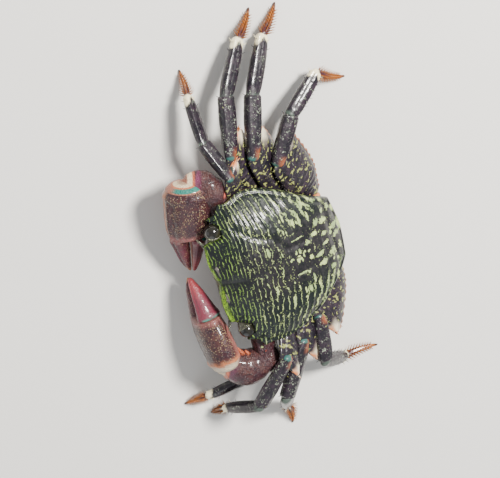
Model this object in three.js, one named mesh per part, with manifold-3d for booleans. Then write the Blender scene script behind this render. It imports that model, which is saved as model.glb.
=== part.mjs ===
// A life-size still model of a striped shore crab, standing with both claws folded in front of its face.
// Millimetres, +Z up, floor at z = 0, face towards -Y, the crab's own left towards +X.

import * as THREE from 'three';
import { mergeVertices } from 'three/addons/utils/BufferGeometryUtils.js';
import Module from 'manifold-3d';

const wasm = await Module();
wasm.setup();

// Driving dimensions ------------------------------------------------------------------------------------------

const BODY_HEIGHT = 14.5;        // floor to the middle of the carapace
const BODY_SHIFT = -0.8;         // the body leans over its spread right legs
const BODY_PITCH = 22;           // degrees the front is lifted
const BODY_YAW = 2;              // degrees the face is turned towards its left
const GAP = 0.3;                 // between neighbouring pieces

const HALF_WIDTH = 20.1;         // carapace, at its widest
const FRONT_Y = -17.4;
const REAR_Y = 17.6;
const DOME = 4.6;                // height of the carapace over the line of its side edges
const SIDE_EDGE_Z = -1.2;
const FRONT_EDGE_Z = -4.2;       // the front turns down
const REAR_EDGE_Z = -1.8;
const BELLY_Z = -10;

// Half of the carapace edge from the middle of the front to the middle of the rear. A corner stays sharp.
const EDGE = [
  { at: [0, FRONT_Y + 0.5], corner: true },            // notch between the frontal lobes
  { at: [5.5, FRONT_Y - 0.2] },
  { at: [10.5, FRONT_Y + 0.3], corner: true },         // inner end of the eye socket
  { at: [11.8, FRONT_Y + 4.1], corner: true },
  { at: [14.9, FRONT_Y + 4.3], corner: true },
  { at: [16.6, FRONT_Y + 2.7], corner: true },         // tooth outside the eye
  { at: [17.3, FRONT_Y + 4.9], corner: true },
  { at: [19.4, FRONT_Y + 6.0], corner: true },         // second side tooth
  { at: [19.1, FRONT_Y + 7.6], corner: true },
  { at: [HALF_WIDTH, -5] },
  { at: [HALF_WIDTH - 1.5, 0] },
  { at: [15.4, 5.2] },
  { at: [12, 9.6] },
  { at: [7.9, REAR_Y - 1.4], corner: true },
  { at: [0, REAR_Y], corner: true },
];

// Walking legs, front to rear: where the leg leaves the body, the length, breadth and thickness of each article,
// and how far its flat sides lean back from facing straight up, in degrees.
const LEGS = [
  { root: [12.8, -5.6, -7], long: [12.5, 9.8, 11.8, 7.6], broad: [6.4, 3.9, 3.5, 2.1], thick: [3, 3, 2.7, 1.8], lean: 48 },
  { root: [12.6, 1, -7], long: [17, 13.6, 13.6, 7.8], broad: [8.8, 4.6, 4.1, 2.4], thick: [3.1, 3.5, 3.1, 2], lean: 38 },
  { root: [11.4, 7.2, -6.4], long: [16.6, 14, 14, 8], broad: [9.4, 4.7, 4.2, 2.4], thick: [3.1, 3.6, 3.1, 2], lean: 36 },
  { root: [8.6, 14.2, -4.8], long: [15.6, 11.4, 11.8, 8.6], broad: [10.4, 4.6, 4.1, 2.3], thick: [3, 3.5, 3, 2], lean: 26 },
];
const ARTICLES = ['merus', 'carpus', 'propodus', 'dactylus'];

// How each article points: degrees swung back from straight out sideways, then degrees above level.
// The last article falls to the floor, so only its swing is given.
const POSE = {
  right: [
    [[4.6, 22.1], [-21, -16], [-1, -29], [1]],
    [[-11.2, 16.2], [13, -13], [32, -22], [42]],
    [[-15.1, 20.3], [17, -13], [29, -21], [42]],
    [[-24, 20.4], [33, -10], [52, -20], [124]],
  ],
  left: [
    [[-14.9, -11.9], [-42, -4], [-76, -12], [-70]],
    [[-24.1, 32], [-44, 0], [-70, -50], [-50]],
    [[-25.6, 24.7], [-34, 10], [0, -54], [0]],
    [[-31, 19.6], [-8, 3], [46, -49], [88]],
  ],
};
const COXA = [5, 4.4];           // breadth and thickness of the article inside each leg
const TOE_BOW = -0.5;
const FOOT_Z = 0.35;             // height of the middle of a toe tip, whose underside is cut flat at the floor

// Claws: where the joints are, in the standing frame, which way the flat of the hand faces, how far the carpus
// bulges outwards, and the size of each article.
const CLAWS = {
  right: {
    root: [-12, -12.2, 12], elbow: [-21.4, -11.4, 13.2], wrist: [-23.6, -18.5, 13.2], tip: [-1.6, -22, 7.6],
    face: [0, -0.25, 0.97], bow: 1.2,
  },
  left: {
    root: [10.2, -10.8, 12.2], elbow: [24.8, -11, 12.4], wrist: [21.2, -21.6, 12.8], tip: [-0.6, -23.6, 8.6],
    face: [0, 0.92, -0.4], bow: 2.4,
  },
};
const CLAW = { merus: [6.2, 5.4], carpus: [9, 8], palm: [11, 7.6] };  // breadth and thickness
const KNUCKLE = 0.54;            // where the movable finger starts, as a share of wrist to tip

const COLOURS = {
  shell: '#20262a', belly: '#8d8a78', leg: '#2b222b', toe: '#8a4a2a', claw: '#58303a', finger: '#7d4a48',
  eye: '#10150f', stalk: '#4a4436', feeler: '#4a3a30',
};

// Solids ------------------------------------------------------------------------------------------------------

const rad = THREE.MathUtils.degToRad;
const vec = (x, y, z) => new THREE.Vector3(x, y, z);
const mix = THREE.MathUtils.lerp;

// A closed skin: the grid of a sphere, each vertex moved to shape(i, k), i around and k from pole to pole.
function skin(around, rows, shape) {
  const geometry = new THREE.SphereGeometry(1, around, rows);
  const { position, uv } = geometry.attributes;
  for (let n = 0; n < position.count; n++) {
    const i = (Math.round(uv.getX(n) * around) + around) % around;
    const k = Math.round((1 - uv.getY(n)) * rows);
    position.setXYZ(n, ...shape(i, k).toArray());
  }
  return outward(bare(geometry));
}

// Only positions, with shared corners merged.
function bare(geometry) {
  geometry.deleteAttribute('normal');
  geometry.deleteAttribute('uv');
  return mergeVertices(geometry, 1e-5);
}

// Turns every triangle round if the skin's volume comes out negative.
function outward(geometry) {
  const [a, b, c] = [vec(), vec(), vec()];
  const { index, attributes: { position } } = geometry;
  let volume = 0;
  for (let t = 0; t < index.count; t += 3) {
    [a, b, c].forEach((p, j) => p.fromBufferAttribute(position, index.getX(t + j)));
    volume += a.dot(b.cross(c));
  }
  if (volume < 0) {
    for (let t = 0; t < index.count; t += 3) {
      const first = index.getX(t);
      index.setX(t, index.getX(t + 1));
      index.setX(t + 1, first);
    }
  }
  return geometry;
}

function solid(geometry) {
  return new wasm.Manifold(new wasm.Mesh({
    numProp: 3,
    vertProperties: new Float32Array(geometry.attributes.position.array),
    triVerts: new Uint32Array(geometry.index.array),
  }));
}

function surface(body) {
  const { vertProperties, triVerts } = body.getMesh();
  const geometry = new THREE.BufferGeometry();
  geometry.setAttribute('position', new THREE.BufferAttribute(vertProperties, 3));
  geometry.setIndex(new THREE.BufferAttribute(triVerts, 1));
  return geometry;
}

// Keeps the side of the plane through point that normal points to, set back by half a gap.
function keep(body, point, normal, gap = GAP / 2) {
  const n = normal.clone().normalize();
  return body.trimByPlane(n.toArray(), n.dot(point) + gap);
}

const crab = new THREE.Group();

// Adds a piece whose geometry is in the standing frame as a mesh placed by its own frame.
function place(name, geometry, frame, colour, roughness) {
  const material = new THREE.MeshStandardMaterial({ color: colour, roughness, metalness: 0 });
  const mesh = new THREE.Mesh(geometry.clone().applyMatrix4(frame.clone().invert()), material);
  mesh.name = name;
  frame.decompose(mesh.position, mesh.quaternion, mesh.scale);
  crab.add(mesh);
}

// The body ----------------------------------------------------------------------------------------------------

const BODY = new THREE.Matrix4().makeRotationZ(rad(BODY_YAW))
  .multiply(new THREE.Matrix4().makeRotationX(rad(-BODY_PITCH))).setPosition(BODY_SHIFT, 0, BODY_HEIGHT);

// Points of the whole edge, in order round the body, with short curves between the corners.
function edgePoints(steps) {
  const half = [];
  let stretch = [];
  EDGE.forEach(({ at, corner }, n) => {
    stretch.push(vec(at[0], at[1], 0));
    if (!corner || n === 0) return;
    const curve = new THREE.CatmullRomCurve3(stretch);
    const count = stretch.length > 2 ? Math.max(3, Math.round(curve.getLength() / steps)) : Math.ceil(
      curve.getLength() / (steps * 1.6));
    half.push(...curve.getSpacedPoints(count).slice(0, -1));
    stretch = [stretch.at(-1)];
  });
  half.push(stretch[0]);
  const mirrored = half.slice(1, -1).reverse().map((p) => vec(-p.x, p.y, 0));
  return [...half, ...mirrored];
}

const EDGE_POINTS = edgePoints(2.7);

function edgeHeight(y) {
  const front = THREE.MathUtils.smoothstep(-y, 9, -FRONT_Y);
  const rear = THREE.MathUtils.smoothstep(y, 4, REAR_Y);
  return SIDE_EDGE_Z + front * (FRONT_EDGE_Z - SIDE_EDGE_Z) + rear * (REAR_EDGE_Z - SIDE_EDGE_Z);
}

// Height of the back over the level plane: a rounded square dome, whose front rolls down.
function backHeight(x, y) {
  const across = Math.abs(x / HALF_WIDTH) ** 2.7;
  const lengthways = Math.abs(y / REAR_Y) ** 2.7;
  return mix(DOME, edgeHeight(y), Math.min(1, across + lengthways));
}

const BACK_ROWS = [0, 0.3, 0.55, 0.73, 0.86, 0.94, 1];
const UNDER_ROWS = [0.97, 0.7, 0];
const SHELL_RIM = 0.8;           // thickness of the shell's edge

function carapace(grow = 0) {
  const rows = [...BACK_ROWS, ...UNDER_ROWS];
  return skin(EDGE_POINTS.length, rows.length - 1, (i, k) => {
    const p = EDGE_POINTS[i];
    const r = rows[k];
    const out = 1 + grow / 17;
    const top = k < BACK_ROWS.length;
    const z = top ? backHeight(p.x * r, p.y * r) + grow : edgeHeight(p.y * r) - SHELL_RIM - grow;
    return vec(p.x * r * out, p.y * r * out, z);
  });
}

// The underside: sloping flanks under the shell's edge, then the flat breastplate.
const FLANK_ROWS = [[0, -2.3], [0.7, -2.3], [0.93, -2.35], [0.92, -2.9], [0.8, -4.6], [0.6, -7.6], [0.46, -9.4],
  [0.26, BELLY_Z], [0, BELLY_Z]];

function thorax(grow = 0) {
  return skin(EDGE_POINTS.length, FLANK_ROWS.length - 1, (i, k) => {
    const [r, z] = FLANK_ROWS[k];
    const p = EDGE_POINTS[i];
    const narrow = (k > 3 ? 0.97 : 1) + grow / 14;
    const lift = k > 3 ? THREE.MathUtils.smoothstep(p.y * r, 0, 16) * 3.6 : edgeHeight(p.y * r) - SIDE_EDGE_Z;
    const front = k > 3 && p.y < 0 ? 1.16 : 1;
    return vec(p.x * r * narrow, Math.max(p.y * r * front, FRONT_Y + 2.6) * (1 + grow / 14), z + lift + (k < 3 ? grow : -grow));
  });
}

// A cushion: an ellipsoid with squared shoulders, half sizes a, b, c about a middle.
function cushion(middle, [a, b, c], turn = [0, 0, 0], around = 10, rows = 6, square = 0.8) {
  const spin = new THREE.Euler(...turn.map(rad));
  const power = (s) => Math.sign(s) * Math.abs(s) ** square;
  return skin(around, rows, (i, k) => {
    const lon = (2 * Math.PI * i) / around;
    const lat = (Math.PI * k) / rows;
    const ring = Math.sin(lat) < 1e-6 ? 0 : Math.sin(lat) ** square;
    return vec(a * ring * power(Math.cos(lon)), b * ring * power(Math.sin(lon)), c * power(Math.cos(lat)))
      .applyEuler(spin).add(middle);
  });
}

// Articles of the limbs -----------------------------------------------------------------------------------------

// Each kind of article at shares of its length: how far its upper edge and its lower edge stand off the line between
// its joints, as shares of its breadth, and its share of the full thickness.
const OUTLINES = {
  coxa: [[0, 0.42, 0.42, 0.85], [0.5, 0.5, 0.5, 1], [1, 0.4, 0.4, 0.8]],
  merus: [[-0.06, 0.2, 0.22, 0.6], [0.1, 0.27, 0.34, 0.8], [0.3, 0.33, 0.52, 1], [0.6, 0.33, 0.66, 1],
    [0.88, 0.28, 0.68, 0.85], [1.03, 0.2, 0.58, 0.55]],
  carpus: [[-0.12, 0.36, 0.36, 0.72], [0.12, 0.41, 0.41, 0.85], [0.45, 0.48, 0.48, 0.97], [0.8, 0.5, 0.5, 1],
    [1.1, 0.45, 0.45, 0.9]],
  propodus: [[-0.12, 0.46, 0.46, 0.92], [0.15, 0.5, 0.5, 1], [0.55, 0.48, 0.48, 0.95], [0.9, 0.42, 0.42, 0.8],
    [1.1, 0.38, 0.38, 0.72]],
  dactylus: [[-0.14, 0.46, 0.46, 0.9], [0.15, 0.48, 0.48, 0.95], [0.5, 0.36, 0.36, 0.68], [0.8, 0.24, 0.24, 0.45],
    [1.06, 0.15, 0.15, 0.28]],
  clawMerus: [[-0.06, 0.3, 0.3, 0.6], [0.3, 0.42, 0.42, 0.85], [0.7, 0.5, 0.5, 1], [1.12, 0.45, 0.45, 0.9]],
  clawCarpus: [[-0.3, 0.3, 0.3, 0.6], [0, 0.43, 0.43, 0.86], [0.25, 0.49, 0.49, 0.97], [0.5, 0.5, 0.5, 1],
    [0.75, 0.49, 0.49, 0.97], [1, 0.43, 0.43, 0.86], [1.3, 0.3, 0.3, 0.6]],
  claw: [[-0.1, 0.3, 0.3, 0.62], [0.02, 0.45, 0.42, 0.86], [0.2, 0.53, 0.48, 1], [0.38, 0.49, 0.5, 0.98],
    [0.52, 0.38, 0.46, 0.84], [0.68, 0.29, 0.34, 0.62], [0.86, 0.16, 0.2, 0.36], [1, 0.04, 0.08, 0.12]],
};
const LOBE = 0.34;               // how far the lower corner of a merus reaches past the knee, as a share of its length

// The frame of an article: z from start to end, x to its upper edge, y along the hinge of its joints.
function articleFrame(start, end, hinge) {
  const z = end.clone().sub(start).normalize();
  const y = hinge.clone().addScaledVector(z, -hinge.dot(z)).normalize();
  const x = y.clone().cross(z);
  return new THREE.Matrix4().makeBasis(x, y, z).setPosition(start);
}

// One article, as a closed skin. It can be grown all round, to cut room for itself out of a neighbour.
function article(kind, start, end, hinge, [broad, thick], { around = 8, bow = 0, grow = 0 } = {}) {
  const frame = articleFrame(start, end, hinge);
  const length = start.distanceTo(end);
  const outline = OUTLINES[kind];
  const lobe = kind === 'merus' ? LOBE : 0;
  const geometry = skin(around, outline.length + 1, (i, k) => {
    const pole = k === 0 || k === outline.length + 1;
    const [t, upper, lower, depth] = outline[Math.min(Math.max(k - 1, 0), outline.length - 1)];
    const lon = (2 * Math.PI * (i + 0.5)) / around;
    const middle = (upper - lower) / 2;
    const half = (upper + lower) / 2;
    const x = middle + (pole ? 0 : Math.cos(lon) * half);
    const reach = t + lobe * THREE.MathUtils.smoothstep(t, 0.3, 1) * Math.max(0, -x);
    const bend = bow * Math.sin(Math.PI * THREE.MathUtils.clamp(t, 0, 1)) ** 0.7;
    const deep = pole ? 0 : Math.sin(lon) * depth * (thick / 2 + grow);
    const far = reach * length + (t > 0.5 ? grow : -grow);
    return vec(x * (broad + 2 * grow) + bend, deep, far).applyMatrix4(frame);
  });
  return { kind, start, end, frame, body: solid(geometry) };
}

// Parts each pair of neighbours along their halving plane. A merus with a lobe keeps its far end.
function mitre(pieces) {
  pieces.forEach((piece, n) => {
    const before = pieces[n - 1];
    const after = pieces[n + 1];
    const along = (p) => p.end.clone().sub(p.start).normalize();
    if (before) piece.body = keep(piece.body, piece.start, along(before).add(along(piece)));
    if (after && piece.kind !== 'merus') {
      piece.body = keep(piece.body, piece.end, along(piece).add(along(after)).negate());
    }
  });
}

// Builds it all -------------------------------------------------------------------------------------------------

const shellGeometry = carapace().applyMatrix4(BODY);
const grownShell = solid(carapace(GAP).applyMatrix4(BODY));
place('carapace', shellGeometry, BODY, COLOURS.shell, 0.35);

const bodyPoint = (x, y, z) => vec(x, y, z).applyMatrix4(BODY);
let belly = solid(thorax().applyMatrix4(BODY));
const grownBelly = solid(thorax(GAP).applyMatrix4(BODY));

// The tail flap, folded under the breastplate.
const FLAP = { middle: [0, 8.8, BELLY_Z + 1.9], half: [4.6, 7.4, 1.1], tilt: 14 };
const flap = (grow) => cushion(vec(...FLAP.middle), FLAP.half.map((h) => h + grow), [FLAP.tilt, 0, 0], 10, 6, 0.7)
  .applyMatrix4(BODY);
belly = belly.subtract(solid(flap(GAP)));
place('abdomen', surface(solid(flap(0))), BODY, COLOURS.belly, 0.5);

// Outer mouthparts: two plates side by side under the front.
const MOUTH = { x: 3.5, y: FRONT_Y + 2.3, z: -6.2, half: [3.1, 1.1, 3.9], tilt: 12 };
const mouthplate = (side, grow) => cushion(vec(side * MOUTH.x, MOUTH.y, MOUTH.z), MOUTH.half.map((h) => h + grow),
  [MOUTH.tilt, 0, 0], 8, 6, 0.6).applyMatrix4(BODY);

// Eyes on short stalks in the sockets, and the antennae between them.
const EYE = { at: [13.5, FRONT_Y + 3, -2.9], radius: 1.8 };
const STALK = { from: [9.2, FRONT_Y + 2.8, -5.2], broad: 2.4 };
const FEELER = { from: [8.4, FRONT_Y + 1.6, -5.6], to: [12.6, FRONT_Y - 0.6, -5], broad: 1.3 };

for (const [name, side] of [['right', -1], ['left', 1]]) {
  const eyeAt = bodyPoint(side * EYE.at[0], EYE.at[1], EYE.at[2]);
  const eye = (grow) => cushion(eyeAt, [1, 0.92, 1].map((s) => s * (EYE.radius + grow)), [0, 0, 0], 10, 7, 1);
  const stalkFrom = bodyPoint(side * STALK.from[0], STALK.from[1], STALK.from[2]);
  const stalk = article('coxa', stalkFrom, eyeAt, vec(0, 1, 0), [STALK.broad, STALK.broad]);
  const feelerFrom = bodyPoint(side * FEELER.from[0], FEELER.from[1], FEELER.from[2]);
  const feelerTo = bodyPoint(side * FEELER.to[0], FEELER.to[1], FEELER.to[2]);
  const feeler = article('dactylus', feelerFrom, feelerTo, vec(0, 0, 1), [FEELER.broad, FEELER.broad]);
  const plate = solid(mouthplate(side, 0)).subtract(grownShell);
  belly = belly.subtract(solid(mouthplate(side, GAP)));
  stalk.body = stalk.body.subtract(solid(eye(GAP))).subtract(grownShell);
  const eyeBody = solid(eye(0)).subtract(grownShell);
  place(`eye_${name}`, surface(eyeBody), new THREE.Matrix4().setPosition(eyeAt), COLOURS.eye, 0.15);
  const trimmed = (body) => surface(body.subtract(belly.add(grownShell)));
  place(`eyestalk_${name}`, trimmed(stalk.body), stalk.frame, COLOURS.stalk, 0.4);
  place(`antenna_${name}`, trimmed(feeler.body), feeler.frame, COLOURS.feeler, 0.5);
  place(`maxilliped_${name}`, surface(plate), BODY, COLOURS.claw, 0.45);
}

for (const [name, side] of [['right', -1], ['left', 1]]) {
  const claw = CLAWS[name];
  const [root, elbow, wrist, tip, face] = ['root', 'elbow', 'wrist', 'tip', 'face'].map((key) => vec(...claw[key]));
  const level = vec(0, 0, 1);
  const upperArm = (grow) => article('clawMerus', root, elbow, level, CLAW.merus, { grow });
  const forearm = (grow) => article('clawCarpus', elbow, wrist, level, CLAW.carpus,
    { around: 12, bow: side * claw.bow, grow });
  const grownArm = [upperArm(GAP).body, forearm(GAP).body];
  const [merus, carpus] = [upperArm(0), forearm(0)];
  const hand = article('claw', wrist, tip, face, CLAW.palm, { around: 12 });
  mitre([merus, carpus, hand]);
  merus.body = merus.body.subtract(grownShell);
  belly = belly.subtract(grownArm[0]);
  hand.body = hand.body.subtract(grownArm[0]);
  carpus.body = carpus.body.subtract(grownShell);
  place(`claw_${name}_merus`, surface(merus.body), merus.frame, COLOURS.claw, 0.4);
  place(`claw_${name}_carpus`, surface(carpus.body), carpus.frame, COLOURS.claw, 0.4);
  const knuckle = wrist.clone().lerp(tip, KNUCKLE);
  const along = tip.clone().sub(wrist).normalize();
  const gape = vec().setFromMatrixColumn(hand.frame, 0);
  const finger = keep(keep(hand.body, knuckle, along), knuckle, gape);
  const palm = keep(hand.body, knuckle, along.clone().negate()).add(keep(hand.body, knuckle, gape.clone().negate()));
  place(`claw_${name}_palm`, surface(palm), hand.frame, COLOURS.claw, 0.4);
  place(`claw_${name}_finger`, surface(finger), hand.frame, COLOURS.finger, 0.4);

  const legs = LEGS.map((leg, n) => {
    const joints = [bodyPoint(side * leg.root[0], leg.root[1], leg.root[2])];
    POSE[name][n].forEach(([swing, rise], k) => {
      const from = joints.at(-1);
      const slope = rise === undefined ? -Math.asin((from.z - FOOT_Z) / leg.long[k]) : rad(rise);
      const level = leg.long[k] * Math.cos(slope);
      joints.push(vec(side * level * Math.cos(rad(swing)), level * Math.sin(rad(swing)),
        leg.long[k] * Math.sin(slope)).add(from));
    });
    const [root, knee] = joints;
    const back = vec(0, 0, 1).cross(knee.clone().sub(root)).multiplyScalar(side).normalize();
    const hinge = vec(0, 0, Math.cos(rad(leg.lean))).addScaledVector(back, Math.sin(rad(leg.lean)));
    hinge.multiplyScalar(-side);
    const make = (kind, k, grow) => article(kind, joints[k], joints[k + 1], hinge, [leg.broad[k], leg.thick[k]],
      kind === 'dactylus' ? { around: 6, bow: TOE_BOW } : { grow });
    const coxaFrom = bodyPoint(side * (leg.root[0] - 4.6), leg.root[1] * 0.93, leg.root[2] - 0.5);
    const coxa = article('coxa', coxaFrom, root, hinge, COXA, { around: 6 });
    const pieces = ARTICLES.map((kind, k) => make(kind, k, 0));
    mitre([coxa, ...pieces]);
    pieces[3].body = keep(pieces[3].body, vec(0, 0, 0), vec(0, 0, 1), 0);
    return { coxa, pieces, grown: [make('merus', 0, GAP).body, make('carpus', 1, GAP).body] };
  });
  legs.forEach(({ coxa, pieces, grown }, n) => {
    const thigh = pieces[0];
    const cuts = [grownShell, grownBelly, grown[1], ...grownArm];
    if (legs[n - 1]) cuts.push(...legs[n - 1].grown);
    if (legs[n + 1]) cuts.push(legs[n + 1].grown[1]);
    cuts.forEach((cut) => {
      thigh.body = thigh.body.subtract(cut);
    });
    belly = belly.subtract(coxa.body);
    place(`coxa_${name}_${n + 1}`, surface(coxa.body), coxa.frame, COLOURS.belly, 0.5);
    pieces.forEach((piece) => {
      place(`leg_${name}_${n + 1}_${piece.kind}`, surface(piece.body), piece.frame,
        piece.kind === 'dactylus' ? COLOURS.toe : COLOURS.leg, 0.4);
    });
  });
}

place('thorax', surface(belly), BODY, COLOURS.belly, 0.55);

// The middle of the whole crab's plan becomes the origin.
const bounds = new THREE.Box3().setFromObject(crab, true);
const centre = bounds.getCenter(vec());
crab.children.forEach((mesh) => mesh.position.sub(vec(centre.x, centre.y, bounds.min.z)));

export default crab;
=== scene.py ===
"""A striped shore crab, life size, standing on its legs with both claws folded in front of its face."""

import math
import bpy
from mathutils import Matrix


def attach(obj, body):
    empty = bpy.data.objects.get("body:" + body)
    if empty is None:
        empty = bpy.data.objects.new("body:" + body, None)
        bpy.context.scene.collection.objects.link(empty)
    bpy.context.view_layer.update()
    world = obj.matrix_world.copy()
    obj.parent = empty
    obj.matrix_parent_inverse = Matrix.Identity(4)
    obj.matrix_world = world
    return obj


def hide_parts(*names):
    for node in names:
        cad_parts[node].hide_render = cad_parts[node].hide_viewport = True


bl_info = {
    "name": "Striped shore crab",
    "version": (1, 0, 0),
    "blender": (4, 5, 0),
    "location": "3D View > Sidebar > Crab",
    "description": "Builds a life-size model of a striped shore crab on a plain floor",
    "category": "Add Mesh",
}

import bmesh
import bpy
import numpy as np
from mathutils import Matrix, Vector

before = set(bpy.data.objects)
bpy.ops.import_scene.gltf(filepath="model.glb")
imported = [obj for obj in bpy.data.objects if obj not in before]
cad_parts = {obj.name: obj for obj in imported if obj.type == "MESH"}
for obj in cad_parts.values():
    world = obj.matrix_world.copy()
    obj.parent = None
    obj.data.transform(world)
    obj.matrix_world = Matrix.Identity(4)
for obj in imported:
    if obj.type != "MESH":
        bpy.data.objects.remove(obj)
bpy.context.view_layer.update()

# Sizes are in millimetres. In the standing frame the floor is at z = 0, the face looks towards -y and the
# crab's right is at -x. The shell and what it carries are laid out level, and BODY raises the face.
MM = 0.001
TAU = math.tau
CENTRING = (3.5555, 3.9475, 0)
STANDING = Matrix.Scale(MM, 4) @ Matrix.Translation(CENTRING)
BODY_MIDDLE = (-0.8, 0, 14.5)
BODY_TURN = Matrix.Rotation(math.radians(2), 4, "Z")
BODY_LEAN = Matrix.Rotation(math.radians(-22), 4, "X")
BODY = Matrix.Translation(BODY_MIDDLE) @ BODY_TURN @ BODY_LEAN

HALF_WIDTH = 20.1
FRONT_Y = -17.4
REAR_Y = 17.6
DOME = 4.6
SIDE_EDGE_Z = -1.2
FRONT_EDGE_Z = -4.2
REAR_EDGE_Z = -1.8
BELLY_Z = -10
SHELL_RIM = 0.8
SHELL_AROUND = 480
PLATE_GRID = (260, 120)

# Half of the shell's edge, from the middle of the front to the middle of the rear. True marks a corner.
EDGE = (
    ((0, FRONT_Y + 0.5), True), ((5.5, FRONT_Y - 0.2), False), ((10.5, FRONT_Y + 0.3), True),
    ((11.8, FRONT_Y + 4.1), True), ((14.9, FRONT_Y + 4.3), True), ((16.6, FRONT_Y + 2.7), True),
    ((17.3, FRONT_Y + 4.9), True), ((19.4, FRONT_Y + 6.0), True), ((19.1, FRONT_Y + 7.6), True),
    ((HALF_WIDTH, -5), False), ((HALF_WIDTH - 1.5, 0), False), ((15.4, 5.2), False), ((12, 9.6), False),
    ((7.9, REAR_Y - 1.4), True), ((0, REAR_Y), True),
)
# From pole to pole of what is under the shell: the row, its share of the way out to the edge, and its height.
FLANK_ROWS = ((0, 0, -2.3), (1, 0.7, -2.3), (2, 0.93, -2.35), (3, 0.92, -2.9), (4, 0.8, -4.6),
              (5, 0.6, -7.6), (6, 0.46, -9.4), (7, 0.26, BELLY_Z), (8, 0, BELLY_Z))
SEAMS_Y = (-9.5, -4.6, 0.4, 5.2, 9.6)
FLAP_RINGS_Y = (-4.6, -2.2, 0.2, 2.5, 4.7)

# The pattern of the back has its middle a little to the crab's right.
MARKS_X = -0.5
# Along the back, from front to rear: the way from one stripe to the next, and how far the stripes sweep.
SPACING = np.array([(-19, 0.6), (-13, 0.64), (-11, 0.95), (-6, 1.45), (-3, 1.8), (2, 2), (8, 2.4), (18, 2.7)])
SWEEP = np.array([(-18, 0), (-10, 0), (-7, 0.08), (-4, 0.2), (0, 0.26), (5, 0.38), (10, 0.62), (18, 0.8)])

# Pale patches on the back: the middle, then how wide and how long each one is.
PATCHES = (
    (-5, -5.7, 2.6, 0.9), (5, -6.6, 2.2, 1.0), (9.8, -2.9, 3.4, 0.8), (-9, -1.2, 1.8, 0.6),
    (-7.8, -0.4, 1.2, 0.5), (-3.2, -2.6, 1.6, 0.4), (-4.7, -3, 1.1, 0.4), (5.3, -1.6, 0.8, 0.5),
    (7, -0.7, 1, 0.5), (-7.4, 0.3, 1.5, 0.5), (-11, 0.7, 3.2, 0.5), (-0.5, -0.6, 0.8, 1.3),
    (-1.7, 1, 1.2, 0.9), (0.3, 0.9, 1.7, 0.9), (-1.5, 2, 1.7, 0.8), (0.4, 2, 1.7, 0.7),
    (-0.3, 2.9, 1.9, 0.6), (-0.6, 1.4, 0.5, 1.6), (-1, 3.3, 0.9, 0.7), (-9, 2.8, 2.5, 1.2),
    (-9.8, 2.1, 1.3, 0.6), (-8.7, 4.6, 4, 0.9), (-8.6, 3.7, 1.2, 0.9), (-4.8, 2.2, 0.45, 3.8),
    (3.9, 1.2, 0.45, 3.6), (4.4, 2.8, 1, 0.9), (8.5, 0.7, 1.8, 0.7), (8.6, 2.2, 2.3, 1.1),
    (9, 3.2, 1.2, 0.6), (6.6, 3.8, 3, 0.7), (-2.6, 4.8, 1.3, 1.9), (1.2, 4.7, 1.3, 1.4),
    (-0.6, 4.4, 0.7, 0.9), (-3.6, 7.3, 1.1, 2.8), (1.7, 7.4, 1.2, 3.1), (-8.2, 7.1, 2.4, 0.9),
    (-11.8, 6.6, 2.6, 0.9), (-5.8, 8.8, 1.8, 1.9), (4.3, 8, 1.6, 2.3), (4.4, 6.7, 0.8, 1.3),
    (-5.1, 11.3, 1.6, 2.8), (3.5, 11.2, 2.3, 3.1), (-2.2, 10.2, 1, 2.1), (0.1, 9.8, 0.8, 2.6),
    (-7.2, 12, 1.4, 1.3), (7, 10.5, 1.4, 2.1), (6.5, 12.8, 1.1, 1.1), (5.5, 11.2, 0.7, 1),
    (-1.8, 14.4, 1.5, 3.8), (0.4, 14.4, 1.3, 3.4), (-0.7, 16.6, 3.8, 2.1), (-6.8, 14.3, 1.6, 1.5),
    (-5.5, 15.9, 2.2, 1.1), (3.8, 14.8, 2.5, 1.3), (-0.9, 12.6, 1, 1.2),
)

# Each walking leg from the front one back. The root is where the hip ends, on the shell's own axes. Length,
# breadth and thickness are given for each article, and lean is how far the leg's flat side tips, in degrees.
LEGS = (
    {"root": (12.8, -5.6, -7), "long": (12.5, 9.8, 11.8, 7.6), "broad": (6.4, 3.9, 3.5, 2.1),
     "thick": (3, 3, 2.7, 1.8), "lean": 48},
    {"root": (12.6, 1, -7), "long": (17, 13.6, 13.6, 7.8), "broad": (8.8, 4.6, 4.1, 2.4),
     "thick": (3.1, 3.5, 3.1, 2), "lean": 38},
    {"root": (11.4, 7.2, -6.4), "long": (16.6, 14, 14, 8), "broad": (9.4, 4.7, 4.2, 2.4),
     "thick": (3.1, 3.6, 3.1, 2), "lean": 36},
    {"root": (8.6, 14.2, -4.8), "long": (15.6, 11.4, 11.8, 8.6), "broad": (10.4, 4.6, 4.1, 2.3),
     "thick": (3, 3.5, 3, 2), "lean": 26},
)
LAST_LEG = len(LEGS) - 1
# The articles from the body out, with the faces round and along each one.
ARTICLES = {"merus": (72, 110), "carpus": (48, 70), "propodus": (48, 80), "dactylus": (32, 56)}
# Degrees that each article is swung back from straight out sideways, then degrees above level. The last
# article falls to the floor.
POSE = {
    "right": (((4.6, 22.1), (-21, -16), (-1, -29), (1, None)),
              ((-11.2, 16.2), (13, -13), (32, -22), (42, None)),
              ((-15.1, 20.3), (17, -13), (29, -21), (42, None)),
              ((-24, 20.4), (33, -10), (52, -20), (124, None))),
    "left": (((-14.9, -11.9), (-42, -4), (-76, -12), (-70, None)),
             ((-24.1, 32), (-44, 0), (-70, -50), (-50, None)),
             ((-25.6, 24.7), (-34, 10), (0, -54), (0, None)),
             ((-31, 19.6), (-8, 3), (46, -49), (88, None))),
}
SIDES = (("right", -1), ("left", 1))
HIP = {"size": (5, 4.4), "inward": 4.6, "forward": 0.93, "lower": 0.5}
TOE_BOW = -0.5
FOOT_Z = 0.35
KNEE_LOBE = 0.34
# The share of an article's grid over which each end closes, and how thick a thorn's tip is beside its foot.
CLOSING = 0.07
THORN_TIP = 0.16

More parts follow.
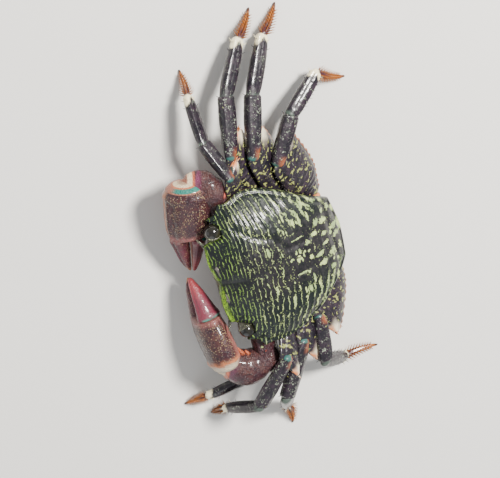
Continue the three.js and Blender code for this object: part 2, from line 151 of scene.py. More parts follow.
# The joints of the claws, in the standing frame. The hand's flat side looks along face, bow is how far the
# wrist bends out, and outer tells which side of the hand has the ridge.
CLAWS = {
    "right": {"root": (-12, -12.2, 12), "elbow": (-21.4, -11.4, 13.2), "wrist": (-23.6, -18.5, 13.2),
              "tip": (-1.6, -22, 7.6), "face": (0, -0.25, 0.97), "bow": 1.2, "outer": 1,
              "wrist_outline": ((-0.28, 0.3, 0.3, 0.6), (0, 0.44, 0.44, 0.84), (0.3, 0.5, 0.5, 0.8),
                                (0.7, 0.5, 0.5, 0.6), (1, 0.44, 0.44, 0.44), (1.2, 0.34, 0.34, 0.3))},
    "left": {"root": (10.2, -10.8, 12.2), "elbow": (24.8, -11, 12.4), "wrist": (21.2, -21.6, 12.8),
             "tip": (-0.6, -23.6, 8.6), "face": (0, 0.92, -0.4), "bow": 2.4, "outer": -1},
}
CLAW_SIZE = {"merus": (6.2, 5.4), "carpus": (9, 8), "palm": (11, 7.6)}
WRIST_TEETH = ((0, 0, 2.4), (0.5, 1.3, 1.5), (0.3, -1.3, 1.6), (0.4, -2.5, 1.1))
KNUCKLE = 0.54
GAPE = 0.014
RIDGE_ANGLE = 2.45

# Along each kind of article: how far its upper and its lower edge stand off the line between its joints, as
# shares of its breadth, then its share of the full thickness.
OUTLINES = {
    "coxa": ((0, 0.42, 0.42, 0.85), (0.5, 0.5, 0.5, 1), (1.12, 0.36, 0.36, 0.75)),
    "merus": ((-0.06, 0.2, 0.22, 0.6), (0.1, 0.27, 0.34, 0.8), (0.3, 0.33, 0.52, 1),
              (0.6, 0.33, 0.66, 1), (0.88, 0.28, 0.68, 0.85), (1.03, 0.2, 0.58, 0.55)),
    "carpus": ((-0.14, 0.3, 0.3, 0.6), (0.06, 0.38, 0.38, 0.78), (0.45, 0.44, 0.44, 0.92),
               (0.8, 0.45, 0.44, 0.92), (0.95, 0.43, 0.41, 0.86), (1.04, 0.34, 0.32, 0.68)),
    "propodus": ((-0.1, 0.38, 0.38, 0.76), (0.1, 0.45, 0.45, 0.92), (0.4, 0.47, 0.47, 0.95),
                 (0.75, 0.42, 0.42, 0.85), (0.93, 0.36, 0.36, 0.72), (1.05, 0.26, 0.26, 0.52)),
    "dactylus": ((-0.12, 0.32, 0.32, 0.64), (0.08, 0.41, 0.41, 0.82), (0.5, 0.3, 0.3, 0.6),
                 (0.8, 0.2, 0.2, 0.4), (1.06, 0.09, 0.09, 0.18)),
    "clawMerus": ((-0.06, 0.3, 0.3, 0.6), (0.3, 0.42, 0.42, 0.85), (0.7, 0.5, 0.5, 1),
                  (1.1, 0.46, 0.46, 0.9)),
    "clawCarpus": ((-0.28, 0.3, 0.3, 0.6), (0, 0.44, 0.44, 0.88), (0.3, 0.51, 0.51, 0.99),
                   (0.7, 0.5, 0.5, 0.98), (1, 0.44, 0.44, 0.87), (1.2, 0.34, 0.34, 0.68)),
    "claw": ((-0.15, 0.34, 0.32, 0.7), (0, 0.5, 0.45, 0.95), (0.2, 0.54, 0.49, 1.03),
             (0.38, 0.49, 0.5, 0.98), (0.52, 0.4, 0.46, 0.84), (0.68, 0.31, 0.36, 0.64),
             (0.86, 0.19, 0.24, 0.4), (1, 0.06, 0.1, 0.14)),
}
STALK_OUTLINE = ((-0.1, 0.42, 0.42, 0.84), (0.3, 0.5, 0.5, 1), (0.6, 0.58, 0.58, 1.16),
                 (0.8, 0.76, 0.76, 1.52), (0.9, 0.86, 0.86, 1.72), (0.98, 0.7, 0.7, 1.4))

# Places on the shell's own axes, for the crab's left side.
FLAP = {"middle": (0, 8.8, BELLY_Z + 1.9), "half": (4.6, 7.4, 1.1), "tilt": 14}
MOUTH = {"middle": (3.5, FRONT_Y + 2.3, -6.2), "half": (3.1, 1.1, 3.9), "tilt": 12, "bristles": 16}
EYE = {"middle": (13.5, FRONT_Y + 3, -2.9), "radius": 1.98}
STALK = {"from": (9.2, FRONT_Y + 2.8, -5.2), "broad": 2.4}
FEELER = {"from": (8.4, FRONT_Y + 1.6, -5.6), "to": (12.6, FRONT_Y - 0.6, -5), "broad": 1.3}

# The camera's own axes and its place in metres, its lens and sensor in millimetres, then what lights the
# scene from all around and half the floor's width in metres.
CAMERA_AXES = ((0.2668164, 0.9527704, 0.1450435), (-0.8764586, 0.3024735, -0.3746066),
               (-0.4007859, -0.0271735, 0.9157687))
CAMERA_PLACE = (-0.1714261, -0.0141978, 0.396012)
CAMERA_LENS = 126.1
CAMERA_SENSOR = 36
SKY_COLOUR = (0.86, 0.88, 0.9, 1)
SKY_STRENGTH = 0.7
FLOOR_HALF = 1.2


# Shapes --------------------------------------------------------------------------------------------------


def step(value, low, high):
    """0 below low, 1 above high, smooth between."""
    s = np.clip((value - low) / (high - low), 0, 1)
    return s * s * (3 - 2 * s)


def hump(value, middle, spread):
    """1 at middle, falling to nothing a few spreads away."""
    return np.exp(-(((value - middle) / spread) ** 2))


def smooth_rows(rows, at):
    """The values of a table at the places at, on a smooth curve through its rows."""
    rows = np.array(rows, float)
    x, y = rows[:, 0], rows[:, 1:]
    slope = np.gradient(y, x, axis=0)
    i = np.clip(np.searchsorted(x, at) - 1, 0, len(x) - 2)
    width = (x[i + 1] - x[i])[:, None]
    s = np.clip((at - x[i])[:, None] / width, 0, 1)
    value = (y[i] * (1 + 2 * s) * (1 - s) ** 2 + y[i + 1] * s * s * (3 - 2 * s)
             + slope[i] * width * s * (1 - s) ** 2 - slope[i + 1] * width * s * s * (1 - s))
    return value.T


def grain(points, size, seed):
    """Smooth random heights from -1 to 1, with bumps about size across."""
    q = np.asarray(points, float) / size + 19.7 * (seed + 1)
    cell = np.floor(q).astype(np.int64)
    f = q - cell
    f = f * f * (3 - 2 * f)
    total = np.zeros(len(q))
    for corner in range(8):
        bits = np.array([corner & 1, corner >> 1 & 1, corner >> 2 & 1])
        c = cell + bits
        h = (c[:, 0] * 73856093) ^ (c[:, 1] * 19349663) ^ (c[:, 2] * 83492791)
        h = ((h ^ (h >> 13)) * 1274126177) & 0xFFFFFFFF
        h = ((h ^ (h >> 15)) * 668265263) & 0xFFFFFFFF
        total += (h / 2 ** 31 - 1) * np.prod(np.where(bits, f, 1 - f), axis=1)
    return total


def skin(bm, around, rows, shape):
    """Adds a sphere's closed grid to bm, and moves each vertex to shape(turn, share), with turn round it and
    share from pole to pole. What shape gives after the places goes into the vertex layers that it names."""
    before = len(bm.verts)
    bmesh.ops.create_uvsphere(bm, u_segments=around, v_segments=rows, radius=1)
    mesh = bpy.data.meshes.new("shaping")
    bm.to_mesh(mesh)
    at = np.empty(len(mesh.vertices) * 3)
    mesh.vertices.foreach_get("co", at)
    at = at.reshape(-1, 3)
    new = at[before:]
    turn = np.round(np.arctan2(new[:, 1], new[:, 0]) / TAU * around) % around / around
    share = np.round(np.arccos(np.clip(new[:, 2], -1, 1)) / math.pi * rows) / rows
    at[before:], marks = shape(turn, share)
    mesh.vertices.foreach_set("co", at.ravel())
    for name, values in marks.items():
        layer = mesh.attributes.get(name) or mesh.attributes.new(name, "FLOAT_VECTOR", "POINT")
        whole = np.empty(len(at) * 3)
        layer.data.foreach_get("vector", whole)
        whole.reshape(-1, 3)[before:] = values
        layer.data.foreach_set("vector", whole)
    bm.clear()
    bm.from_mesh(mesh)
    bpy.data.meshes.remove(mesh)


def spine(bm, foot, tip, radius, zone, sides):
    """Adds a thorn or bristle from foot to tip, coloured as the place on its article that zone gives."""
    way = tip - foot
    placed = Matrix.Translation((foot + tip) / 2) @ way.to_track_quat("Z", "Y").to_matrix().to_4x4()
    made = bmesh.ops.create_cone(bm, cap_ends=True, cap_tris=True, segments=sides, radius1=radius,
                                 radius2=radius * THORN_TIP, depth=way.length, matrix=placed)
    layer = bm.verts.layers.float_vector["zone"]
    for v in made["verts"]:
        v[layer] = zone


def add_piece(bm, name, material, node, place=STANDING):
    """Makes bm an object of its own, in metres and in its place, standing for a node of the solids."""
    bmesh.ops.transform(bm, matrix=place, verts=bm.verts)
    bmesh.ops.recalc_face_normals(bm, faces=bm.faces)
    mesh = bpy.data.meshes.new(name)
    bm.to_mesh(mesh)
    bm.free()
    mesh.materials.append(material)
    mesh.shade_smooth()
    piece = bpy.data.objects.new(name, mesh)
    bpy.context.scene.collection.objects.link(piece)
    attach(piece, "root")
    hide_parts(node)


def body_point(at, side):
    """A place on the shell's own axes, on one side of the crab, in the standing frame."""
    return BODY @ Vector((side * at[0], at[1], at[2]))


def tilted(middle, degrees):
    return Matrix.Translation(middle) @ Matrix.Rotation(math.radians(degrees), 4, "X")


def grid_places(local, placed):
    """Rows of places, moved by a matrix."""
    m = np.array(placed)
    return local @ m[:3, :3].T + m[:3, 3]


def plain_form(kind, table, size, length, bow, t, lon, cap=1.0):
    """Places on an article's plain surface in its own frame: z along it, x to its upper edge. t is the share
    of its length, lon the angle round it and cap the share of its girth left where its ends close."""
    upper, lower, depth = smooth_rows(table, t)
    x = (upper - lower) / 2 + np.cos(lon) * (upper + lower) / 2 * cap
    y = np.sin(lon) * depth * cap
    lobe = KNEE_LOBE if kind == "merus" else 0
    reach = t + lobe * step(t, 0.3, 1) * np.maximum(0, -x)
    bend = bow * np.sin(math.pi * np.clip(t, 0, 1)) ** 0.7
    return np.stack([x * size[0] + bend, y * size[1] / 2, reach * length], 1)


def article(bm, kind, ends, hinge, size, grid, carve, bow=0.0, outline=None):
    """Adds one article of a limb, bent along its length by bow. carve(t, lon, places) gives how far each
    place stands out of the plain form. Gives the article's own frame and its length."""
    start, end = ends
    z = (end - start).normalized()
    y = (hinge - z * hinge.dot(z)).normalized()
    placed = Matrix.Translation(start) @ Matrix((y.cross(z), y, z)).transposed().to_4x4()
    length = (end - start).length
    table = OUTLINES[kind] if outline is None else outline
    low, high = table[0][0], table[-1][0]

    def shape(turn, share):
        t = low + (high - low) * share
        lon = TAU * turn
        closing = np.minimum(share, 1 - share) / CLOSING
        cap = np.sqrt(np.clip(1 - np.clip(1 - closing, 0, 1) ** 2, 0, 1))
        local = plain_form(kind, table, size, length, bow, t, lon, cap)
        out = carve(t, lon, local) * cap
        local[:, 0] += np.cos(lon) * out
        local[:, 1] += np.sin(lon) * out
        places = grid_places(local, placed)
        places[:, 2] = np.maximum(places[:, 2], 0)
        return places, {"zone": np.stack([t, np.cos(lon), np.sin(lon)], 1)}

    skin(bm, *grid, shape)
    return placed, length


def on_article(placed, length, kind, size, t, lon, bow, out):
    """A place that stands out of an article's plain surface by out."""
    at = plain_form(kind, OUTLINES[kind], size, length, bow, np.array([t]), lon)[0]
    return placed @ Vector(at + out * np.array([math.cos(lon), math.sin(lon), 0]))


def cushion(bm, placed, half, grid, square, carve=None):
    """Adds an ellipsoid, its shoulders the squarer the lower square is. carve(local, unit) reshapes it."""
    def power(s):
        return np.sign(s) * np.abs(s) ** square

    def shape(turn, share):
        lon, lat = TAU * turn, math.pi * share
        ring = np.sin(lat) ** square
        ring[(share < 1e-6) | (share > 1 - 1e-6)] = 0
        unit = np.stack([ring * power(np.cos(lon)), ring * power(np.sin(lon)), power(np.cos(lat))], 1)
        local = unit * np.array(half)
        if carve:
            local = carve(local, unit)
        return grid_places(local, placed), {"zone": 0 * unit}

    skin(bm, *grid, shape)


# The shell's form and marks ------------------------------------------------------------------------------


def edge_loop(count):
    """Points of the whole edge at even steps, from the middle of the front."""
    half, stretch = [], []
    for at, corner in EDGE:
        stretch.append(at)
        if corner and len(stretch) > 1:
            points = np.array(stretch, float)
            along = np.r_[0, np.cumsum(np.linalg.norm(np.diff(points, axis=0), axis=1) ** 0.5)]
            s = np.linspace(0, along[-1], 60)[:-1]
            half += list(zip(*smooth_rows(np.c_[along, points], s)))
            stretch = [at]
    half.append(EDGE[-1][0])
    half = np.array(half)
    whole = np.vstack([half, (half * (-1, 1))[-2:0:-1], half[:1]])
    along = np.r_[0, np.cumsum(np.linalg.norm(np.diff(whole, axis=0), axis=1))]
    s = np.arange(count) / count * along[-1]
    return np.stack([np.interp(s, along, whole[:, 0]), np.interp(s, along, whole[:, 1])], 1)


def edge_height(y):
    front = step(-y, 9, -FRONT_Y)
    rear = step(y, 4, REAR_Y)
    return SIDE_EDGE_Z + front * (FRONT_EDGE_Z - SIDE_EDGE_Z) + rear * (REAR_EDGE_Z - SIDE_EDGE_Z)


def back_height(x, y):
    share = np.minimum(1, np.abs(x / HALF_WIDTH) ** 2.7 + np.abs(y / REAR_Y) ** 2.7)
    return DOME + share * (edge_height(y) - DOME)


def stripe_phase(x, y):
    """Whole numbers fall on the middles of the stripes, which sweep back from each side to the middle."""
    across = np.abs(x - MARKS_X)
    level = y + 0.045 * (x - MARKS_X) + np.interp(y, *SWEEP.T) * np.maximum(0, across - 8)
    steps = np.linspace(-22, 40, 1200)
    turns = np.cumsum(1 / np.interp(steps, *SPACING.T)) * (steps[1] - steps[0])
    return np.interp(level, steps, turns)


def stripe_marks(x, y):
    """How broad a stripe is, as a share of the way to the next, and how strong."""
    across = np.abs(x - MARKS_X)
    flank = step(across, 6.5, 10)
    broad = 0.12 + 0.1 * step(-y, 11, 13.5) + flank * (0.05 + 0.24 * step(y, -2, 8))
    strong = 1 - step(y, -3.8, -1.4) * (1 - flank)
    strong *= 1 - 0.9 * hump(x, MARKS_X, 1.0) * step(-y, 11, 12.5)
    strong *= 1 - step(y, 12, 15) * 0.5
    return broad, strong


def patch_field(x, y):
    """Above 0 inside a pale patch, falling with the way out of it."""
    best = np.full(len(x), -1.0)
    for px, py, wide, long in PATCHES:
        best = np.maximum(best, 1 - np.sqrt(((x - px) / (wide / 2)) ** 2 + ((y - py) / (long / 2)) ** 2))
    return best


def way_to_line(x, y, line):
    """Distance to a bent line."""
    best = np.full(len(x), 99.0)
    for (ax, ay), (bx, by) in zip(line, line[1:]):
        dx, dy = bx - ax, by - ay
        s = np.clip(((x - ax) * dx + (y - ay) * dy) / (dx * dx + dy * dy), 0, 1)
        best = np.minimum(best, np.hypot(x - ax - s * dx, y - ay - s * dy))
    return best


def relief(x, y, inward):
    """Height of the lobes, grooves and raised lines of the back, inward millimetres inside its edge."""
    across = np.abs(x)
    high = 0.42 * hump(across, 3.1, 1.9) * hump(y, -14.4, 1.7)
    high += 0.32 * hump(across, 8, 2.3) * hump(y, -13.2, 1.9)
    high += 0.3 * hump(across, 5.6, 3) * hump(y, -8.2, 3) + 0.26 * hump(across, 0, 2.6) * hump(y, -4.5, 3.5)
    high += 0.24 * hump(across, 12.4, 4) * hump(y, 1.5, 5) + 0.22 * hump(across, 0, 3) * hump(y, 6.6, 3)
    high -= 0.62 * hump(x, 0, 0.75) * step(-y, 10.5, 14.5)
    neck = way_to_line(across, y, ((13, -10.6), (9.6, -7.4), (7.4, -3), (3.6, -0.7), (0, -0.2)))
    heart = way_to_line(across, y, ((3.6, -0.7), (3.4, 4.6), (5.4, 10.5), (6.6, 14)))
    high -= 0.26 * hump(neck, 0, 0.8) + 0.22 * hump(heart, 0, 0.8)
    high -= 0.3 * hump(way_to_line(across, y, ((1.2, 12.6), (8, 12.9))), 0, 0.7)
    high += 0.16 * hump(inward, 0.45, 0.3) * step(y, -13, -10)
    high -= 0.16 * hump(inward, 1.1, 0.4) * step(y, -13, -10)
    socket = np.hypot(across - 13.6, y - (FRONT_Y + 2.4))
    high += 0.5 * hump(socket, 3.6, 0.8) * step(-y, 11, 12.5)
    phase = stripe_phase(x, y)
    ridge = (0.5 + 0.5 * np.cos(TAU * phase)) ** 3
    high += ridge * (0.07 + 0.05 * step(across, 8, 13)) * step(inward, 0.8, 2) * (1 - step(y, 8, 14) * 0.6)
    flat = np.stack([x, y, 0 * x], 1)
    return (high + 0.07 * grain(flat, 2.4, 1) + 0.03 * grain(flat, 0.8, 2)) * step(inward, 0, 0.9)


def shell_shape(loop):
    """The back, its edge rolled under between the shares back and rim, and the flat lower side."""
    back, rim, reach_in = 0.84, 0.9, 0.985

    def shape(turn, share):
        p = loop[np.round(turn * len(loop)).astype(int) % len(loop)]
        roll = math.pi * np.clip((share - back) / (rim - back), 0, 1)
        rolled = reach_in + (1 - reach_in) * np.sin(roll)
        lower = reach_in * (1 - share) / (1 - rim)
        r = np.where(share <= back, reach_in * share / back, np.where(share < rim, rolled, lower))
        x, y = p[:, 0] * r, p[:, 1] * r
        inward = (1 - r) * np.linalg.norm(p, axis=1)
        top = back_height(x, y) + relief(x, y, inward)
        under = edge_height(y) - SHELL_RIM
        side = under + (top - under) * (0.5 + 0.5 * np.cos(roll))
        z = np.where(share <= back, top, np.where(share < rim, side, under))
        broad, strong = stripe_marks(x, y)
        below = step(share, rim - 0.004, rim)
        flank = step(np.abs(x - MARKS_X), 4, 11) + 0.5 * step(-y, 9, 13)
        # groove marks the sunken middle groove at the front, which the paint later turns near-black as
        # painted shade.
        groove = hump(x, -0.3, 1.2) * step(-y, 9.5, 13)
        band_width = np.interp(x, [-11, -9, 1.5, 3, 10, 11], [0, 0.3, 0.4, 0.9, 0.9, 0])
        band = step(band_width - inward, -0.25, 0.25) * step(-y, 13, 14.5) * step(z - under, 0.3, 0.8)
        rim_pale = (1 - step(z - under, 0.3, 0.75)) * (0.5 + 0.4 * step(y, 8, 13))
        rim_pale *= step(y, -12, -9) * (1 - below)
        # The edges layer holds the front band, the pale low rim less the groove's painted shade, and the
        # underside.
        return np.stack([x, y, z], 1), {
            "stripes": np.stack([stripe_phase(x, y), broad, strong * (1 - below)], 1),
            "patches": np.stack([patch_field(x, y), np.clip(flank, 0, 1), step(-y, 10, 14)], 1),
            "edges": np.stack([band, rim_pale - groove, below], 1),
        }
    return shape


# Node recipes --------------------------------------------------------------------------------------------


def tint(code):
    """A screen colour such as 20262a as the renderer's numbers."""
    parts = [int(code[n:n + 2], 16) / 255 for n in (0, 2, 4)]
    return tuple(c / 12.92 if c <= 0.04045 else ((c + 0.055) / 1.055) ** 2.4 for c in parts) + (1.0,)


def for_socket(colour):
    """What a colour socket takes, from another socket, a screen colour or a colour setting."""
    if isinstance(colour, bpy.types.NodeSocket):
        return colour
    return tint(colour) if isinstance(colour, str) else tuple(colour) + (1.0,)


class Recipe:
    """Writes the nodes of one material or node group. Its patterns go by place."""

    def __init__(self, tree):
        self.tree = tree
        self.count = 0
        self.place = None

    def fill(self, node, inputs):
        """Sets a node's inputs, or joins them to the sockets given."""
        for key, value in inputs.items():
            if isinstance(value, bpy.types.NodeSocket):
                self.tree.links.new(value, node.inputs[key])
            else:
                node.inputs[key].default_value = value
        return node

    def node(self, kind, inputs=None, **settings):
        made = self.tree.nodes.new(kind)
        made.location = (self.count % 12 * 200, -(self.count // 12) * 260)
        self.count += 1
        for key, value in settings.items():
            setattr(made, key, value)
        return self.fill(made, inputs or {})

    def math(self, operation, *values, clamp=False):
        inputs = dict(enumerate(values))
        return self.node("ShaderNodeMath", inputs, operation=operation, use_clamp=clamp).outputs[0]

    def times(self, value, *others):
        for other in others:
            value = self.math("MULTIPLY", value, other)
        return value

    def plus(self, value, *others):
        for other in others:
            value = self.math("ADD", value, other)
        return value

    def less(self, value, other):
        return self.math("SUBTRACT", value, other)

    def sway(self, noise, amount, middle=0.5):
        """How far a noise is from its middle, times an amount."""
        return self.times(self.less(noise, middle), amount)

    def between(self, value, low, high):
        """0 below low, 1 above high, smooth between, or the other way round where low is the greater."""
        return self.node("ShaderNodeMapRange", {"Value": value, "From Min": low, "From Max": high},
                         interpolation_type="SMOOTHSTEP").outputs["Result"]

    def mix(self, share, a, b):
        inputs = {0: share, 6: for_socket(a), 7: for_socket(b)}
        return self.node("ShaderNodeMix", inputs, data_type="RGBA").outputs[2]

    def over(self, below, colour, *shares):
        """A colour laid over another by the product of its shares, each a number, a socket or what between
        takes."""
        shares = [self.between(*share) if isinstance(share, tuple) else share for share in shares]
        return self.mix(self.times(*shares), below, colour)

    def layers(self, colour, *rows):
        """Colours laid over one another, each row a colour and its shares."""
        for row in rows:
            colour = self.over(colour, *row)
        return colour

    def mottle(self, noise, a, b):
        """Two colours in soft patches."""
        return self.mix(self.between(noise, 0.35, 0.65), a, b)

    def noise(self, scale, detail=3.0, roughness=0.55):
        inputs = {"Vector": self.place, "Scale": scale, "Detail": detail, "Roughness": roughness}
        return self.node("ShaderNodeTexNoise", inputs).outputs["Fac"]

    def cells(self, scale, jumble=1.0):
        """How far a place is from the middle of its own small cell."""
        inputs = {"Vector": self.place, "Scale": scale, "Randomness": jumble}
        return self.node("ShaderNodeTexVoronoi", inputs).outputs["Distance"]

    def field(self, name):
        """The three numbers of a vertex layer."""
        made = self.node("ShaderNodeAttribute", attribute_name=name, attribute_type="GEOMETRY")
        return self.node("ShaderNodeSeparateXYZ", {0: made.outputs["Vector"]}).outputs[:3]

    def group(self, name, **inputs):
        made = self.node("ShaderNodeGroup", {"Place": self.place}, node_tree=effect(name))
        return self.fill(made, {key.capitalize(): value for key, value in inputs.items()}).outputs

    def flecks(self, scale, amount):
        return self.group("Pale flecks", scale=scale, amount=amount)["Mask"]

    def bump(self, height, distance, strength=1.0):
        inputs = {"Height": height, "Distance": distance, "Strength": strength}
        return self.node("ShaderNodeBump", inputs).outputs["Normal"]

    def surface(self, colour, gloss, height, pores, distance):
        """The varying sockets of a wet surface. gloss is its least and its greatest roughness, pores how much
        the fine pores add to its height, and distance the height in metres."""
        wet = self.group("Wet surface", low=gloss[0], high=gloss[1])
        height = self.plus(height, self.times(wet["Pores"], pores))
        return {"Base Color": colour, "Roughness": wet["Roughness"], "Normal": self.bump(height, distance)}


SWIRL = 0.0004


def flecks_effect(make, scale, amount):
    """Small pale flecks of uneven size in loose clusters, pushed about by up to SWIRL metres."""
    swirl = make.node("ShaderNodeTexNoise", {"Vector": make.place, "Scale": make.times(scale, 1.7)})
    moved = make.node("ShaderNodeVectorMath", {0: swirl.outputs["Color"], "Scale": SWIRL}, operation="SCALE")
    warped = make.node("ShaderNodeVectorMath", {0: make.place, 1: moved.outputs[0]}, operation="ADD")
    make.place = warped.outputs[0]
    clusters = make.noise(make.times(scale, 0.35), 2.0)
    size = make.times(make.math("SUBTRACT", make.plus(clusters, amount), 0.72, clamp=True), 1.3)
    return [make.between(make.less(size, make.cells(scale)), -0.05, 0.08)]


def granules_effect(make, scale):
    """Low round grains set close together: their height, and a mask of their crowns."""
    away = make.cells(scale, 0.8)
    return [make.between(away, 0.62, 0.1), make.between(away, 0.36, 0.2)]


def wet_effect(make, low, high):
    """Uneven gloss, with damp patches among drier ones, and fine pores."""
    fine = make.noise(2600.0, 2.0)
    damp = make.between(make.plus(make.noise(260.0), make.times(fine, 0.3)), 0.5, 0.8)
    return [make.plus(low, make.times(damp, make.less(high, low))), fine]


# Each shared node group: what builds it, the numbers it takes beside the place, and what it puts out.
EFFECTS = {
    "Pale flecks": (flecks_effect, ("Scale", "Amount"), ("Mask",)),
    "Granules": (granules_effect, ("Scale",), ("Height", "Crown")),
    "Wet surface": (wet_effect, ("Low", "High"), ("Roughness", "Pores")),
}


def effect(name):
    """A shared node group, built the first time that it is asked for."""
    tree = bpy.data.node_groups.get(name)
    if tree:
        return tree
    build, inputs, outputs = EFFECTS[name]
    tree = bpy.data.node_groups.new(name, "ShaderNodeTree")
    tree.interface.new_socket("Place", in_out="INPUT", socket_type="NodeSocketVector")
    for labels, way in ((inputs, "INPUT"), (outputs, "OUTPUT")):
        for label in labels:
            tree.interface.new_socket(label, in_out=way, socket_type="NodeSocketFloat")
    make = Recipe(tree)
    given = make.node("NodeGroupInput").outputs
    make.place = given["Place"]
    made = build(make, *(given[label] for label in inputs))
    make.node("NodeGroupOutput", dict(zip(outputs, made)))
    return tree


def finish(name, paint, *settings, **constants):
    """A material. paint(make, ...) gives its varying sockets, and constants are set on the shader itself."""
    material = bpy.data.materials.new(name)
    material.use_nodes = True
    shader = material.node_tree.nodes["Principled BSDF"]
    make = Recipe(material.node_tree)
    make.place = make.node("ShaderNodeTexCoord").outputs["Object"]
    varying = paint(make, *settings)
    constant = {label.replace("_", " "): value for label, value in constants.items()}
    make.fill(shader, {**constant, **varying})
    return material


# The gloss that most of the surfaces share.
WET = {"Coat_Weight": 0.35, "Coat_Roughness": 0.08, "Specular_IOR_Level": 0.28}


def shell_paint(make, look):
    """Stripes in front, blotches behind, a bright band along the front, a pale line low on the sides, and
    painted shade darkening the middle groove at the front.
    """
    phase, broad, strong = make.field("stripes")
    patch, flank, front = make.field("patches")
    # rim is the pale low rim where above 0, and the painted shade of the middle groove where below 0.
    band, rim, below = make.field("edges")
    coarse = make.noise(420.0)
    fine = make.noise(1500.0)
    ragged = make.noise(3200.0, 2.0)
    phase = make.plus(phase, make.sway(coarse, 1.5), make.sway(fine, 0.45))
    wave = make.times(make.math("PINGPONG", phase, 0.5), 2.0)
    width = make.times(broad, make.plus(0.1, make.times(fine, 1.7)))
    edge = make.plus(make.less(width, wave), make.sway(ragged, 0.16))
    breaks = make.between(make.noise(640.0, roughness=0.75), 0.43, 0.53)
    line = make.times(make.between(edge, -0.05, 0.07), strong, breaks)
    blot = make.between(make.plus(patch, make.sway(fine, 2.6, 0.54), make.sway(ragged, 0.7)), 0.0, 0.16)
    marks = make.math("MAXIMUM", make.math("MAXIMUM", line, blot), make.times(make.flecks(1900.0, 0.33), 0.5))
    marks = make.times(marks, make.less(1.0, below))
    ground = make.over(make.mix(flank, look.middle, look.flank), "0c1012", make.between(fine, 0.35, 0.7))
    pale = make.over(make.mottle(coarse, look.stripe, look.patch), "688a30", front, 0.85)
    colour = make.over(ground, pale, marks, make.plus(0.5, make.times(coarse, 0.7)))
    grit = make.between(make.plus(ragged, fine), 0.92, 1.12)
    colour = make.layers(
        colour,
        (look.front_band, band, make.plus(0.22, make.times(grit, 0.78))),
        ("8a713f", rim, (coarse, 0.3, 0.6)),
        # Painted shade: where rim falls below 0, in the middle groove, the colour goes near-black.
        ("090b0c", rim, -0.85),
        ("7f7a68", below))
    height = make.plus(make.times(marks, 0.5), make.times(fine, 0.6))
    return make.surface(colour, (0.3, 0.56), height, 0.35, 0.00007)


def leg_paint(make, kind, look):
    """Dark legs with pale flecks. The rest goes by t, the share of an article's length, and by its edges."""
    t, upper, _ = make.field("zone")
    coarse = make.noise(500.0)
    fine = make.noise(1700.0)
    t = make.plus(t, make.sway(coarse, 0.16))
    colour = make.mottle(coarse, look.ground, look.ground_two)
    colour = make.over(colour, "120f15", (fine, 0.45, 0.7))
    amount = {"merus": 0.28, "carpus": 0.4, "propodus": 0.36, "dactylus": 0.3, "coxa": 0.3}[kind]
    small = make.flecks(2400.0, amount)
    colour = make.over(colour, look.fleck, small, (coarse, 0.3, 0.7))
    if kind == "merus":
        rows = make.math("PINGPONG", make.plus(make.times(t, 9.0), make.times(coarse, 1.5)), 0.5)
        dashes = make.times(make.between(rows, 0.2, 0.12), make.between(make.noise(800.0, 2.0), 0.52, 0.57))
        colour = make.over(colour, look.spot, make.math("MAXIMUM", make.flecks(950.0, 0.1), dashes))
        lower = make.between(upper, -0.15, -0.75)
        colour = make.layers(
            colour,
            ("d9cdb4", (t, 0.8, 0.93), lower),
            (look.rim, (t, 0.93, 1.0), lower),
            ("9c5a34", (upper, -0.955, -0.99), (fine, 0.3, 0.5)),
            ("39534c", (t, 0.98, 1.03), (upper, -0.3, 0.2), 0.6))
    if kind in ("coxa", "carpus"):
        colour = make.over(colour, look.spot, make.flecks(950.0, 0.2))
    if kind == "carpus":
        colour = make.layers(
            colour,
            ("8a4a28", (t, 0.16, 0.02), (upper, 0.5, -0.5), 0.8),
            ("2f5f58", (t, -0.03, -0.08), (upper, -0.5, 0.3), 0.8))
    if kind == "propodus":
        flame = make.plus(t, make.sway(make.math("ABSOLUTE", upper), 0.14))
        colour = make.layers(
            colour,
            ("4c5a50", (t, 0.05, -0.04), 0.6),
            (look.tip, (flame, 0.86, 0.93)),
            ("b5622f", (t, 1.0, 1.06)))
    if kind == "dactylus":
        colour = make.mix(make.between(make.plus(t, make.times(fine, 0.4)), 0.4, 0.8), "3a2029", look.toe)
        colour = make.layers(
            colour,
            ("5a2a1c", (fine, 0.4, 0.62), 0.6),
            (look.fleck, small, 0.4),
            (look.tip, (t, 0.06, -0.04)),
            ("3a1d12", (t, 0.86, 1.0)))
    if kind == "coxa":
        colour = make.layers(
            colour,
            ("a0937b", (t, 0.85, 0.6)),
            (look.rim, (t, 0.95, 1.05)))
    return make.surface(colour, (0.26, 0.5), make.times(fine, 0.8), 0.4, 0.00006)


